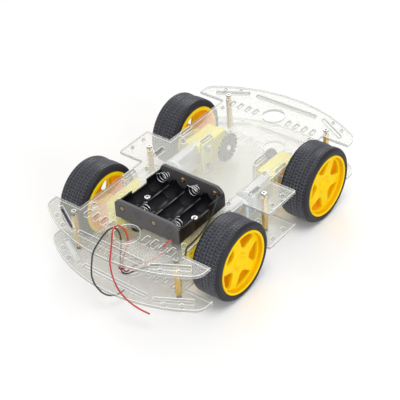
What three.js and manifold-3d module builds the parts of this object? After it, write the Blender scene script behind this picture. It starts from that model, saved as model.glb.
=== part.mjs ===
// Four wheel robot chassis: two clear decks on six standoffs, four gearmotors with their wheels,
// a four-cell battery holder and its two leads. Millimetres, +Z up, +X forward, +Y to the left.
// The origin is on the floor, under the middle of the chassis.
import * as THREE from "three";
import { mergeVertices } from "three/addons/utils/BufferGeometryUtils.js";
import Module from "manifold-3d";

const wasm = await Module();
wasm.setup();

// Driving dimensions.
const DECK_THICK = 3;
const LOWER_DECK_Z = 15.8;
const STANDOFF_LENGTH = 30;
const WHEELBASE = 115.5;
const WHEEL_RADIUS = 32.5;
const WHEEL_WIDTH = 26.8;
const TRACK_OUTER = 161.2;
const GEARBOX_THICK = 17.9;
const GEARBOX_INNER_Y = 29.1;
const SHAFT_LENGTH = 37;
const LEAD_DIAMETER = 1.3;
const PLAY = 0.3;
const SLIP = 0.15;

// Heights and places that follow from them.
const LOWER_DECK_TOP = LOWER_DECK_Z + DECK_THICK;
const UPPER_DECK_Z = LOWER_DECK_TOP + STANDOFF_LENGTH;
const UPPER_DECK_TOP = UPPER_DECK_Z + DECK_THICK;
const WHEEL_INNER_Y = TRACK_OUTER / 2 - WHEEL_WIDTH;
const GEARBOX_MID_Y = GEARBOX_INNER_Y + GEARBOX_THICK / 2;
const GEARBOX_OUTER_Y = GEARBOX_INNER_Y + GEARBOX_THICK;

// Deck outline and its openings, in plan.
const DECK = {
  arcRadius: 136,
  arcCentreX: -7.4,
  tipHalfWidth: 77,
  tipStraightX: 98,
  tipArcY: 69,
  notchOuterX: 93,
  waistHalfWidth: 51.4,
  wingHalfLength: 18.2,
  wingHalfWidth: 76.2,
};
const STANDOFF_PLACES = [
  ["front_left", 100.5, 51],
  ["front_right", 100.5, -51],
  ["middle_left", 0, 58.5],
  ["middle_right", 0, -58.5],
  ["rear_left", -100.5, 51],
  ["rear_right", -100.5, -51],
];
const SCREW_HOLE_RADIUS = 1.6;
const WIRE_HOLE = { x: 96.5, radius: 10 };
const END_SLOT = { x: 115.7, halfLength: 31.5, width: 3 };
const SIDE_SLOT = { inner: [115.5, 38], outer: [100.5, 65], width: 3 };
const SHORT_SLOT = { x: 94, firstY: 17, pitchY: 8.2, count: 4, length: 7, width: 3.2 };
const BRACKET_SLOT = { length: 12.4, width: 3.4 };
const MIDDLE_SLOT_Y = 48.8;
const SMALL_HOLES = [
  [115.6, 48.3],
  [109.2, 60.6],
  [7, 71.2],
];
const STANDOFF = { acrossFlats: 4.8, boreRadius: 1.25 };

// Brackets that clamp the gearmotors, measured from the axle.
const BRACKET = {
  thick: 3,
  width: 16,
  tabWidth: 12,
  middleX: -20.5,
  screwZ: 8.75,
  outerY: GEARBOX_OUTER_Y + 0.2,
  innerY: GEARBOX_INNER_Y - 3.2,
};

// Battery holder.
const HOLDER = {
  x: 57,
  y: 10.9,
  length: 58,
  width: 62.4,
  height: 16.6,
  endWall: 3,
  pitch: 15.6,
  cellRadius: 7.3,
  cellZ: 9,
  ridgeZ: 7.4,
  sideWallHeight: 12,
  notchLength: 18,
  notchZ: 8.6,
  cornerRadius: 5.5,
  rimThick: 0.9,
};
const HOLDER_SCREW_BAYS = [0, 3];

// Gear train. Every wheel gear has 32 teeth, every pinion 8 and the crown gear 24.
const PINION_TEETH = 8;
const WHEEL_TEETH = 32;
const CROWN_TEETH = 24;
const OUTPUT_MODULE = 0.45;
const MIDDLE_MODULE = 0.35;
const STAGE_RATIO = WHEEL_TEETH / PINION_TEETH;
const CROWN_RATIO = CROWN_TEETH / PINION_TEETH;
const CROWN_X = -15.5;
const CROWN_PITCH_RADIUS = (CROWN_TEETH * OUTPUT_MODULE) / 2;
const OUTPUT_DISTANCE = ((WHEEL_TEETH + PINION_TEETH) * OUTPUT_MODULE) / 2;
const MIDDLE_DISTANCE = ((WHEEL_TEETH + PINION_TEETH) * MIDDLE_MODULE) / 2;
const MIDDLE_X = (CROWN_X ** 2 + OUTPUT_DISTANCE ** 2 - MIDDLE_DISTANCE ** 2) / (2 * CROWN_X);
const MIDDLE_Z = Math.sqrt(OUTPUT_DISTANCE ** 2 - MIDDLE_X ** 2);

// How far each wheel is turned at rest, in degrees, so that no two spoke patterns match.
const CORNERS = [
  { name: "front_left", x: WHEELBASE / 2, turn: [0, 0, 0], up: 1, wheelTurn: 9 },
  { name: "front_right", x: WHEELBASE / 2, turn: [Math.PI, 0, 0], up: -1, wheelTurn: 27 },
  { name: "rear_left", x: -WHEELBASE / 2, turn: [0, Math.PI, 0], up: -1, wheelTurn: 5.4 },
  { name: "rear_right", x: -WHEELBASE / 2, turn: [0, 0, Math.PI], up: 1, wheelTurn: 50 },
];

// Lead routes, from the battery holder to the bare end. Each bends through the wire hole.
const RED_ROUTE = [
  [86.6, 36.2, 54.6],
  [88.8, 35.4, 54.4],
  [90.8, 34.6, 53.6],
  [92.4, 33.9, 51.4],
  [93.2, 33.5, 48.6],
  [95.0, 33.1, 46.6],
  [98.4, 32.3, 45.6],
  [102.0, 30.9, 44.4],
  [104.9, 27.6, 42.2],
  [106.2, 22.0, 38.6],
  [106.2, 15.0, 33.4],
  [105.7, 9.0, 27.2],
  [105.5, 4.8, 22.0],
  [105.5, 2.2, 20.7],
  [105.5, 0.3, 22.4],
  [105.5, 0.2, 26.6],
  [104.9, 1.4, 33.0],
  [103.8, 3.6, 40.5],
  [102.6, 5.4, 47.4],
  [101.4, 5.2, 52.4],
  [100.3, 2.4, 56.8],
  [100.6, -1.2, 59.4],
  [102.4, -4.0, 60.2],
  [105.4, -4.6, 59.0],
  [109.6, -2.4, 57.2],
  [114.8, 1.6, 55.9],
  [120.6, 6.0, 55.0],
  [125.8, 9.9, 54.3],
  [129.4, 12.3, 52.4],
  [131.0, 13.8, 47.2],
  [131.4, 14.8, 41.5],
  [131.4, 16.4, 35.8],
  [131.4, 19.2, 30.0],
  [131.2, 23.8, 25.0],
  [130.6, 29.8, 21.0],
  [129.2, 37.0, 17.6],
  [127.0, 44.6, 15.0],
];
const BLACK_ROUTE = [
  [32.4, 35.4, 61.6],
  [35.0, 39.2, 64.6],
  [38.6, 42.4, 65.4],
  [42.4, 43.6, 62.4],
  [46.6, 43.8, 57.6],
  [52.0, 44.6, 53.6],
  [60.0, 46.6, 52.8],
  [70.0, 48.6, 52.7],
  [80.0, 49.6, 52.7],
  [87.4, 50.6, 53.2],
  [90.8, 52.4, 51.4],
  [91.7, 52.2, 47.6],
  [93.6, 48.2, 45.2],
  [97.4, 43.4, 44.0],
  [101.8, 37.4, 42.4],
  [105.4, 29.6, 38.8],
  [107.4, 20.8, 33.0],
  [107.7, 12.4, 26.6],
  [107.7, 6.2, 21.8],
  [107.7, 2.4, 20.6],
  [107.7, 0.3, 22.4],
  [107.7, 0.2, 26.6],
  [107.2, 0.4, 33.0],
  [106.4, 1.0, 40.5],
  [105.4, 1.6, 47.4],
  [104.2, 0.6, 52.6],
  [102.9, -2.4, 56.2],
  [102.9, -6.0, 57.5],
  [105.6, -8.4, 57.2],
  [110.6, -8.7, 56.4],
  [117.4, -7.4, 55.6],
  [124.2, -5.6, 54.6],
  [129.8, -4.2, 52.2],
  [131.4, -4.6, 46.4],
  [131.8, -6.2, 37.0],
  [131.8, -6.6, 28.0],
  [131.6, -3.0, 20.6],
  [129.4, 3.4, 15.0],
  [123.4, 7.4, 12.4],
  [115.2, 8.6, 11.6],
];
const LEAD_SIDES = 8;
const LEAD_STEPS = 62;

// One material for each kind of surface.
const finish = (color, roughness, metalness = 0, opacity = 1) =>
  new THREE.MeshStandardMaterial({ color, roughness, metalness, opacity, transparent: opacity < 1 });
const MATERIALS = {
  acrylic: finish(0xe8edf0, 0.1, 0, 0.4),
  brass: finish(0xd0a24a, 0.3, 1),
  blackPlastic: finish(0x141416, 0.35),
  yellowPlastic: finish(0xffd400, 0.4),
  whitePlastic: finish(0xf2f0e6, 0.5),
  rubber: finish(0x26262b, 0.85),
  steel: finish(0xb9bdc2, 0.3, 1),
  redLead: finish(0xc8281e, 0.5),
  blackLead: finish(0x17191a, 0.5),
};

// ---- Shared helpers -------------------------------------------------------------------------

// A closed three.js geometry as a solid that can be cut and joined.
function solid(geometry) {
  const bare = geometry.clone();
  bare.deleteAttribute("normal");
  bare.deleteAttribute("uv");
  const merged = mergeVertices(bare, 1e-4);
  return new wasm.Manifold(
    new wasm.Mesh({
      numProp: 3,
      vertProperties: new Float32Array(merged.attributes.position.array),
      triVerts: new Uint32Array(merged.index.array),
    }),
  );
}

// The geometry of a solid.
function geometryOf(manifold) {
  const mesh = manifold.getMesh();
  const geometry = new THREE.BufferGeometry();
  geometry.setAttribute("position", new THREE.BufferAttribute(mesh.vertProperties, 3));
  geometry.setIndex(new THREE.BufferAttribute(mesh.triVerts, 1));
  return geometry;
}

function join(...solids) {
  return solids.reduce((whole, piece) => whole.add(piece));
}

function cut(whole, ...pieces) {
  return pieces.reduce((rest, piece) => rest.subtract(piece), whole);
}

// A named mesh from a solid.
function node(name, manifold, material) {
  const geometry = geometryOf(manifold).toNonIndexed();
  geometry.computeVertexNormals();
  const mesh = new THREE.Mesh(geometry, material);
  mesh.name = name;
  return mesh;
}

// A box given by its lowest and highest corners.
function box(low, high) {
  const size = high.map((value, axis) => value - low[axis]);
  const geometry = new THREE.BoxGeometry(...size);
  geometry.translate(...high.map((value, axis) => (value + low[axis]) / 2));
  return solid(geometry);
}

// A cylinder along Y, from one y to another, at a place in X and Z.
function rodY(radius, fromY, toY, x = 0, z = 0, sides = 16) {
  const geometry = new THREE.CylinderGeometry(radius, radius, toY - fromY, sides);
  geometry.translate(x, (fromY + toY) / 2, z);
  return solid(geometry);
}

// A cylinder along X at a place in Y and Z.
function rodX(radius, fromX, toX, y, z, sides = 16) {
  const geometry = new THREE.CylinderGeometry(radius, radius, toX - fromX, sides);
  geometry.rotateZ(Math.PI / 2);
  geometry.translate((fromX + toX) / 2, y, z);
  return solid(geometry);
}

// A flat shape drawn in X and Z, extruded along Y.
function plateY(shape, fromY, toY) {
  const geometry = new THREE.ExtrudeGeometry(shape, {
    depth: toY - fromY,
    bevelEnabled: false,
    curveSegments: 6,
  });
  geometry.rotateX(Math.PI / 2);
  geometry.translate(0, toY, 0);
  return solid(geometry);
}

// A flat shape drawn in X and Y, extruded upwards.
function plateZ(shape, fromZ, toZ) {
  const geometry = new THREE.ExtrudeGeometry(shape, {
    depth: toZ - fromZ,
    bevelEnabled: false,
    curveSegments: 6,
  });
  geometry.translate(0, 0, fromZ);
  return solid(geometry);
}

// A rectangle with its long side turned by an angle.
function rectangle(x, y, length, width, angle = 0) {
  const along = new THREE.Vector2(Math.cos(angle), Math.sin(angle)).multiplyScalar(length / 2);
  const across = new THREE.Vector2(-Math.sin(angle), Math.cos(angle)).multiplyScalar(width / 2);
  const signs = [[-1, -1], [1, -1], [1, 1], [-1, 1]];
  const points = signs.map(([a, b]) =>
    new THREE.Vector2(x, y).addScaledVector(along, a).addScaledVector(across, b),
  );
  return new THREE.Shape(points);
}

// A regular polygon with a given number of sides.
function polygon(x, y, radius, sides) {
  const points = [];
  for (let i = 0; i < sides; i++) {
    const angle = (2 * Math.PI * (i + 0.5)) / sides;
    points.push(new THREE.Vector2(x + radius * Math.cos(angle), y + radius * Math.sin(angle)));
  }
  return new THREE.Shape(points);
}

// ---- Decks ----------------------------------------------------------------------------------

// A quarter of the deck's outline, from the nose to the side of the wing.
function quarterOutline() {
  const points = [];
  const endAngle = Math.asin(DECK.tipArcY / DECK.arcRadius);
  const arcSteps = 7;
  for (let i = 0; i <= arcSteps; i++) {
    const angle = (endAngle * i) / arcSteps;
    points.push([
      DECK.arcCentreX + DECK.arcRadius * Math.cos(angle),
      DECK.arcRadius * Math.sin(angle),
    ]);
  }
  const [arcX, arcY] = points[points.length - 1];
  const tip = new THREE.QuadraticBezierCurve(
    new THREE.Vector2(arcX, arcY),
    new THREE.Vector2(arcX - 4, DECK.tipHalfWidth),
    new THREE.Vector2(DECK.tipStraightX, DECK.tipHalfWidth),
  );
  for (const point of tip.getPoints(3).slice(1)) points.push([point.x, point.y]);
  points.push([DECK.notchOuterX, DECK.tipHalfWidth]);
  points.push([DECK.notchOuterX, DECK.waistHalfWidth]);
  points.push([DECK.wingHalfLength, DECK.waistHalfWidth]);
  points.push([DECK.wingHalfLength, DECK.wingHalfWidth]);
  return points;
}

function deckOutline() {
  const quarter = quarterOutline();
  const backwards = [...quarter].reverse();
  const all = [
    ...quarter,
    ...backwards.map(([x, y]) => [-x, y]),
    ...quarter.slice(1).map(([x, y]) => [-x, -y]),
    ...backwards.slice(0, -1).map(([x, y]) => [x, -y]),
  ];
  return new THREE.Shape(all.map(([x, y]) => new THREE.Vector2(x, y)));
}

// The slots, wire holes and bracket slots of one end, where side is 1 in front and -1 behind.
function endHoles(side) {
  const holes = [polygon(side * WIRE_HOLE.x, 0, WIRE_HOLE.radius, 16)];
  holes.push(rectangle(side * END_SLOT.x, 0, END_SLOT.width, 2 * END_SLOT.halfLength));
  for (const hand of [1, -1]) {
    const [innerX, innerY] = SIDE_SLOT.inner;
    const [outerX, outerY] = SIDE_SLOT.outer;
    const length = Math.hypot(outerX - innerX, outerY - innerY);
    const angle = Math.atan2(hand * (outerY - innerY), side * (outerX - innerX));
    const middle = [(side * (innerX + outerX)) / 2, (hand * (innerY + outerY)) / 2];
    holes.push(rectangle(...middle, length, SIDE_SLOT.width, angle));
    for (let i = 0; i < SHORT_SLOT.count; i++) {
      const y = hand * (SHORT_SLOT.firstY + i * SHORT_SLOT.pitchY);
      holes.push(rectangle(side * SHORT_SLOT.x, y, SHORT_SLOT.length, SHORT_SLOT.width));
    }
    const slotX = side * (WHEELBASE / 2 + BRACKET.middleX);
    for (const bracketY of [BRACKET.outerY, BRACKET.innerY]) {
      const y = hand * (bracketY + BRACKET.thick / 2);
      holes.push(rectangle(slotX, y, BRACKET_SLOT.length, BRACKET_SLOT.width));
    }
  }
  return holes;
}

function smallHoles() {
  const places = STANDOFF_PLACES.map(([, x, y]) => [x, y]);
  for (const side of [1, -1]) {
    for (const hand of [1, -1]) {
      places.push(...SMALL_HOLES.map(([x, y]) => [side * x, hand * y]));
    }
  }
  return places.map(([x, y]) => polygon(x, y, SCREW_HOLE_RADIUS, 6));
}

function deck(name, z, extraHoles) {
  const holes = [...endHoles(1), ...endHoles(-1), ...smallHoles(), ...extraHoles];
  for (const hand of [1, -1]) {
    holes.push(rectangle(0, hand * MIDDLE_SLOT_Y, BRACKET_SLOT.length, BRACKET_SLOT.width));
  }
  const plate = plateZ(deckOutline(), z, z + DECK_THICK);
  const cutters = holes.map((hole) => plateZ(hole, z - 1, z + DECK_THICK + 1));
  return node(name, cut(plate, ...cutters), MATERIALS.acrylic);
}

function decks() {
  const holderScrews = HOLDER_SCREW_BAYS.map((bay) =>
    polygon(HOLDER.x, bayY(bay), SCREW_HOLE_RADIUS, 6),
  );
  return [deck("bottom_deck", LOWER_DECK_Z, []), deck("top_deck", UPPER_DECK_Z, holderScrews)];
}

// ---- Standoffs ------------------------------------------------------------------------------

function standoff(name, x, y) {
  const cornerRadius = STANDOFF.acrossFlats / 2 / Math.cos(Math.PI / 6);
  const hexagon = plateZ(polygon(x, y, cornerRadius, 6), LOWER_DECK_TOP, UPPER_DECK_Z);
  const bore = plateZ(polygon(x, y, STANDOFF.boreRadius, 8), LOWER_DECK_TOP - 1, UPPER_DECK_Z + 1);
  return node(`standoff_${name}`, cut(hexagon, bore), MATERIALS.brass);
}

// ---- Battery holder -------------------------------------------------------------------------

function bayY(bay) {
  return HOLDER.y + (bay - 1.5) * HOLDER.pitch;
}

// The tray's cross section, with a half-round bed for each cell.
function holderSection() {
  const halfWidth = HOLDER.width / 2;
  const edge = Math.asin((HOLDER.cellZ - HOLDER.ridgeZ) / HOLDER.cellRadius);
  const points = [
    [-halfWidth, 0],
    [halfWidth, 0],
    [halfWidth, HOLDER.sideWallHeight],
    [halfWidth - HOLDER.rimThick, HOLDER.sideWallHeight],
  ];
  const bedSteps = 7;
  for (let bay = 3; bay >= 0; bay--) {
    const middle = bayY(bay) - HOLDER.y;
    for (let i = 0; i <= bedSteps; i++) {
      const angle = -edge - ((Math.PI - 2 * edge) * i) / bedSteps;
      points.push([
        middle + HOLDER.cellRadius * Math.cos(angle),
        HOLDER.cellZ + HOLDER.cellRadius * Math.sin(angle),
      ]);
    }
  }
  points.push([HOLDER.rimThick - halfWidth, HOLDER.sideWallHeight]);
  points.push([-halfWidth, HOLDER.sideWallHeight]);
  return new THREE.Shape(points.map(([y, z]) => new THREE.Vector2(y, z)));
}

function holderEndWall() {
  const half = HOLDER.width / 2;
  const top = HOLDER.height;
  const corner = HOLDER.cornerRadius;
  const shape = new THREE.Shape();
  shape.moveTo(-half, 0);
  shape.lineTo(half, 0);
  shape.lineTo(half, top - corner);
  shape.absarc(half - corner, top - corner, corner, 0, Math.PI / 2, false);
  shape.absarc(-half + corner, top - corner, corner, Math.PI / 2, Math.PI, false);
  shape.closePath();
  return shape;
}

// A shape drawn in Y and Z, extruded along X.
function plateX(shape, fromX, toX) {
  const geometry = new THREE.ExtrudeGeometry(shape, {
    depth: toX - fromX,
    bevelEnabled: false,
    curveSegments: 4,
  });
  geometry.rotateZ(Math.PI / 2);
  geometry.rotateY(Math.PI / 2);
  geometry.translate(fromX, 0, 0);
  return solid(geometry);
}

function batteryHolder() {
  const back = -HOLDER.length / 2;
  const front = HOLDER.length / 2;
  const half = HOLDER.width / 2;
  let tray = join(
    plateX(holderSection(), back + 1, front - 1),
    plateX(holderEndWall(), back, back + HOLDER.endWall),
    plateX(holderEndWall(), front - HOLDER.endWall, front),
  );
  for (const hand of [1, -1]) {
    const notch = box(
      [-HOLDER.notchLength / 2, Math.min(hand * half - 2, hand * half + 1), HOLDER.notchZ],
      [HOLDER.notchLength / 2, Math.max(hand * half - 1, hand * half + 2), HOLDER.height],
    );
    tray = cut(tray, notch);
  }
  for (const bay of HOLDER_SCREW_BAYS) {
    tray = cut(tray, plateZ(polygon(0, bayY(bay) - HOLDER.y, SCREW_HOLE_RADIUS, 8), -1, 4));
  }
  const mesh = node("battery_holder", tray, MATERIALS.blackPlastic);
  mesh.position.set(HOLDER.x, HOLDER.y, UPPER_DECK_TOP);
  return mesh;
}

// ---- Leads ----------------------------------------------------------------------------------

function lead(name, route, material) {
  const path = new THREE.CatmullRomCurve3(route.map((point) => new THREE.Vector3(...point)));
  const section = polygon(0, 0, LEAD_DIAMETER / 2, LEAD_SIDES);
  const geometry = new THREE.ExtrudeGeometry(section, { extrudePath: path, steps: LEAD_STEPS });
  return node(name, solid(geometry), material);
}

// The wrap that holds the two leads together between the decks.
const LEAD_TIE = { place: [106.6, 0.2, 24.9], inner: 2.2, outer: 3.1, height: 2.8 };

function leadTie() {
  const { inner, outer, height } = LEAD_TIE;
  const profile = [
    [inner, -height / 2],
    [outer, -height / 2],
    [outer, height / 2],
    [inner, height / 2],
    [inner, -height / 2],
  ];
  const ring = new THREE.LatheGeometry(profile.map((point) => new THREE.Vector2(...point)), 12);
  ring.rotateX(Math.PI / 2);
  ring.translate(...LEAD_TIE.place);
  return node("lead_tie", solid(ring), MATERIALS.redLead);
}

// ---- Gears ----------------------------------------------------------------------------------

// A gear outline with pointed teeth, one of them at the given angle. The tips pass the pitch
// circle by a little and the roots lie well inside it, which leaves the mesh its backlash.
function gearShape(teeth, module, angle) {
  const pitchRadius = (teeth * module) / 2;
  const tip = pitchRadius + 0.35 * module;
  const root = pitchRadius - 1.25 * module;
  const points = [];
  for (let i = 0; i < 2 * teeth; i++) {
    const radius = i % 2 === 0 ? tip : root;
    const turn = angle + (Math.PI * i) / teeth;
    points.push(new THREE.Vector2(radius * Math.cos(turn), radius * Math.sin(turn)));
  }
  return new THREE.Shape(points);
}

// Angles in these shapes run from +X towards +Z.
function gearY(teeth, module, angle, fromY, toY) {
  return plateY(gearShape(teeth, module, angle), fromY, toY);
}

// A ring of face teeth that point along +Y, one of them at the given angle.
function crownTeeth(inner, outer, baseY, rootY, tipY, angle) {
  const rings = 2 * CROWN_TEETH;
  const positions = [];
  const index = [];
  for (let i = 0; i < rings; i++) {
    const turn = angle + (Math.PI * i) / CROWN_TEETH;
    const topY = i % 2 === 0 ? tipY : rootY;
    for (const [radius, y] of [[inner, baseY], [outer, baseY], [outer, topY], [inner, topY]]) {
      positions.push(radius * Math.cos(turn), y, radius * Math.sin(turn));
    }
    const here = 4 * i;
    const next = 4 * ((i + 1) % rings);
    for (let k = 0; k < 4; k++) {
      const other = (k + 1) % 4;
      index.push(here + k, next + other, next + k);
      index.push(here + k, here + other, next + other);
    }
  }
  const geometry = new THREE.BufferGeometry();
  geometry.setAttribute("position", new THREE.Float32BufferAttribute(positions, 3));
  geometry.setIndex(index);
  return solid(geometry);
}

// ---- One driven corner, drawn for the front left ---------------------------------------------
// Local frame: the axle is the Y axis, y counts from the chassis' middle, the motor is at -X.

const SHAFT = {
  radius: 2.7,
  flatHalf: 1.85,
  flatLength: 8.8,
  fromY: GEARBOX_MID_Y - SHAFT_LENGTH / 2,
  toY: GEARBOX_MID_Y + SHAFT_LENGTH / 2,
};
const LAYERS = {
  crownBase: 33.4,
  crownDisc: 35.2,
  crownRoot: GEARBOX_MID_Y - PINION_TEETH * OUTPUT_MODULE * 0.5 - 0.45,
  crownTip: GEARBOX_MID_Y - PINION_TEETH * OUTPUT_MODULE * 0.5 + 0.15,
  crownPinionTop: 40.8,
  middleBase: 38.6,
  middleTop: 40.4,
  middlePinionTop: 44.6,
  outputBase: 41.2,
  outputTop: 44.0,
};
const PIN_RADIUS = 0.55;
const PIN_HOLE_RADIUS = 0.7;
const CASE_WALL = 1.5;
const CASE = { front: 11.3, back: -26, halfHeight: 11.25, noseRadius: 6 };
const MOTOR = { radius: 10, halfFlat: 7.6, length: 28, wall: 1.3 };

// The shaft's round section with two flats, grown by a clearance, over a stretch of Y.
function flattedRod(grow, fromY, toY) {
  const rod = rodY(SHAFT.radius + grow, fromY, toY, 0, 0, 12);
  const half = SHAFT.flatHalf + grow;
  const high = box([-9, fromY - 1, half], [9, toY + 1, 9]);
  const low = box([-9, fromY - 1, -9], [9, toY + 1, -half]);
  return cut(rod, high, low);
}

function outputShaft() {
  const gearAngle = Math.atan2(MIDDLE_Z, MIDDLE_X);
  return join(
    flattedRod(0, SHAFT.fromY, SHAFT.fromY + SHAFT.flatLength),
    rodY(SHAFT.radius, SHAFT.fromY + SHAFT.flatLength, SHAFT.toY - SHAFT.flatLength, 0, 0, 12),
    flattedRod(0, SHAFT.toY - SHAFT.flatLength, SHAFT.toY),
    gearY(WHEEL_TEETH, OUTPUT_MODULE, gearAngle, LAYERS.outputBase, LAYERS.outputTop),
  );
}

// The middle gear: its wheel meets the crown gear's pinion, and its pinion the output gear.
function middleGear() {
  const towardsOutput = Math.atan2(-MIDDLE_Z, -MIDDLE_X);
  const towardsCrown = Math.atan2(-MIDDLE_Z, CROWN_X - MIDDLE_X);
  const pinionAngle = towardsOutput + Math.PI / PINION_TEETH;
  const gear = join(
    gearY(WHEEL_TEETH, MIDDLE_MODULE, towardsCrown, LAYERS.middleBase, LAYERS.middleTop),
    gearY(PINION_TEETH, OUTPUT_MODULE, pinionAngle, LAYERS.middleTop - 0.2, LAYERS.middlePinionTop),
  );
  return cut(gear, rodY(PIN_HOLE_RADIUS, 30, 50, 0, 0, 8));
}

// The crown gear: face teeth for the motor's pinion, and a pinion for the middle gear.
function crownGear() {
  const towardsMiddle = Math.atan2(MIDDLE_Z, MIDDLE_X - CROWN_X);
  const pinionAngle = towardsMiddle + Math.PI / PINION_TEETH;
  const inner = CROWN_PITCH_RADIUS - 0.8;
  const outer = CROWN_PITCH_RADIUS + 0.9;
  const discTop = LAYERS.crownDisc;
  const gear = join(
    rodY(inner + 0.1, LAYERS.crownBase, discTop, 0, 0, 16),
    crownTeeth(inner, outer, LAYERS.crownBase, LAYERS.crownRoot, LAYERS.crownTip, Math.PI),
    gearY(PINION_TEETH, MIDDLE_MODULE, pinionAngle, discTop - 0.2, LAYERS.crownPinionTop),
  );
  return cut(gear, rodY(PIN_HOLE_RADIUS, 30, 50, 0, 0, 8));
}

// The motor's pinion on the end of the armature shaft, along X, with its own axis at the origin.
function motorPinion() {
  const shape = gearShape(PINION_TEETH, OUTPUT_MODULE, -Math.PI / 2 + Math.PI / PINION_TEETH);
  const toothed = new THREE.ExtrudeGeometry(shape, { depth: 2, bevelEnabled: false });
  toothed.rotateZ(Math.PI / 2);
  toothed.rotateY(Math.PI / 2);
  const meshX = CROWN_X - CROWN_PITCH_RADIUS;
  toothed.translate(meshX - 1, 0, 0);
  const shaft = rodX(1, CASE.back - 6, meshX - 0.9, 0, 0, 8);
  return join(solid(toothed), shaft);
}

// The gearbox outline with its rounded nose, shrunk by an inset.
function caseOutline(inset) {
  const front = CASE.front - inset;
  const back = CASE.back + inset;
  const half = CASE.halfHeight - inset;
  const radius = CASE.noseRadius - inset;
  const shape = new THREE.Shape();
  shape.moveTo(back, -half);
  shape.lineTo(front - radius, -half);
  shape.absarc(front - radius, -half + radius, radius, -Math.PI / 2, 0, false);
  shape.absarc(front - radius, half - radius, radius, 0, Math.PI / 2, false);
  shape.lineTo(back, half);
  return new THREE.Shape(shape.getPoints(3));
}

// One half of the gearbox: a cup whose floor is at floorY and whose rim is at rimY.
function gearboxHalf(floorY, rimY) {
  const outward = Math.sign(floorY - rimY);
  const low = Math.min(floorY, rimY);
  const high = Math.max(floorY, rimY);
  const cavityFloor = floorY - outward * CASE_WALL;
  const cavityRim = rimY - outward;
  const cavityLow = Math.min(cavityFloor, cavityRim);
  const cavityHigh = Math.max(cavityFloor, cavityRim);
  let cup = cut(
    plateY(caseOutline(0), low, high),
    plateY(caseOutline(CASE_WALL), cavityLow, cavityHigh),
  );
  for (const z of [BRACKET.screwZ, -BRACKET.screwZ]) {
    cup = join(cup, rodY(2.6, low, high, BRACKET.middleX, z, 6));
  }
  for (const z of [BRACKET.screwZ, -BRACKET.screwZ]) {
    cup = cut(cup, rodY(SCREW_HOLE_RADIUS, low - 1, high + 1, BRACKET.middleX, z, 6));
  }
  return cut(
    cup,
    rodY(SHAFT.radius + 2 * PLAY, low - 1, high + 1, 0, 0, 10),
    rodX(3, CASE.back - 1, CASE.back + 3, GEARBOX_MID_Y, 0, 8),
  );
}

// The outer half carries the fixing tab at the nose and the middle gear's pin.
function gearboxCase() {
  const splitY = GEARBOX_MID_Y + SLIP;
  const tabEnd = CASE.front + 5;
  let shell = gearboxHalf(GEARBOX_OUTER_Y, splitY);
  shell = join(
    shell,
    box([CASE.front - 1, splitY, -5], [tabEnd, splitY + 3, 5]),
    rodY(PIN_RADIUS, LAYERS.middleBase + 0.3, GEARBOX_OUTER_Y - 0.5, MIDDLE_X, MIDDLE_Z, 8),
  );
  return cut(shell, rodY(SCREW_HOLE_RADIUS, splitY - 1, splitY + 4, tabEnd - 2.6, 0, 6));
}

// The inner half carries the crown gear's pin.
function gearboxCover() {
  const splitY = GEARBOX_MID_Y - SLIP;
  const pin = rodY(PIN_RADIUS, GEARBOX_INNER_Y + 0.5, LAYERS.crownPinionTop - 0.4, CROWN_X, 0, 8);
  return join(gearboxHalf(GEARBOX_INNER_Y, splitY), pin);
}

// A cylinder along X with two flat sides, round the motor's axis.
function canBody(radius, halfFlat, fromX, toX) {
  const low = [fromX - 1, GEARBOX_MID_Y - halfFlat, -11];
  const high = [toX + 1, GEARBOX_MID_Y + halfFlat, 11];
  return rodX(radius, fromX, toX, GEARBOX_MID_Y, 0, 16).intersect(box(low, high));
}

// The motor can: a hollow shell with a bore for the armature's shaft.
function motorCan() {
  const from = CASE.back - MOTOR.length;
  const to = CASE.back - PLAY;
  const wall = MOTOR.wall;
  const shell = canBody(MOTOR.radius, MOTOR.halfFlat, from, to);
  const inside = canBody(MOTOR.radius - wall, MOTOR.halfFlat - wall, from + 2 * wall, to - wall);
  return cut(shell, inside, rodX(1 + PLAY, to - 8, to + 1, GEARBOX_MID_Y, 0, 8));
}

// An upright plate with a tab through each deck. Up is -1 where the corner is turned upside down.
function bracket(innerFaceY, up) {
  const low = LOWER_DECK_TOP - WHEEL_RADIUS + PLAY;
  const high = UPPER_DECK_Z - WHEEL_RADIUS - PLAY;
  const bottom = LOWER_DECK_Z - WHEEL_RADIUS;
  const top = UPPER_DECK_TOP - WHEEL_RADIUS;
  const half = BRACKET.width / 2;
  const tab = BRACKET.tabWidth / 2;
  const x = BRACKET.middleX;
  const outline = [
    [x - tab, bottom],
    [x + tab, bottom],
    [x + tab, low],
    [x + half, low],
    [x + half, high],
    [x + tab, high],
    [x + tab, top],
    [x - tab, top],
    [x - tab, high],
    [x - half, high],
    [x - half, low],
    [x - tab, low],
  ];
  const shape = new THREE.Shape(outline.map(([along, z]) => new THREE.Vector2(along, up * z)));
  for (const z of [BRACKET.screwZ, -BRACKET.screwZ]) {
    shape.holes.push(polygon(x, z, SCREW_HOLE_RADIUS, 6));
  }
  return plateY(shape, innerFaceY, innerFaceY + BRACKET.thick);
}

const ENCODER = { notches: 20, outer: 13, inner: 9.5, thick: 1.8, hubRadius: 4.6, hubLength: 5 };

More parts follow.
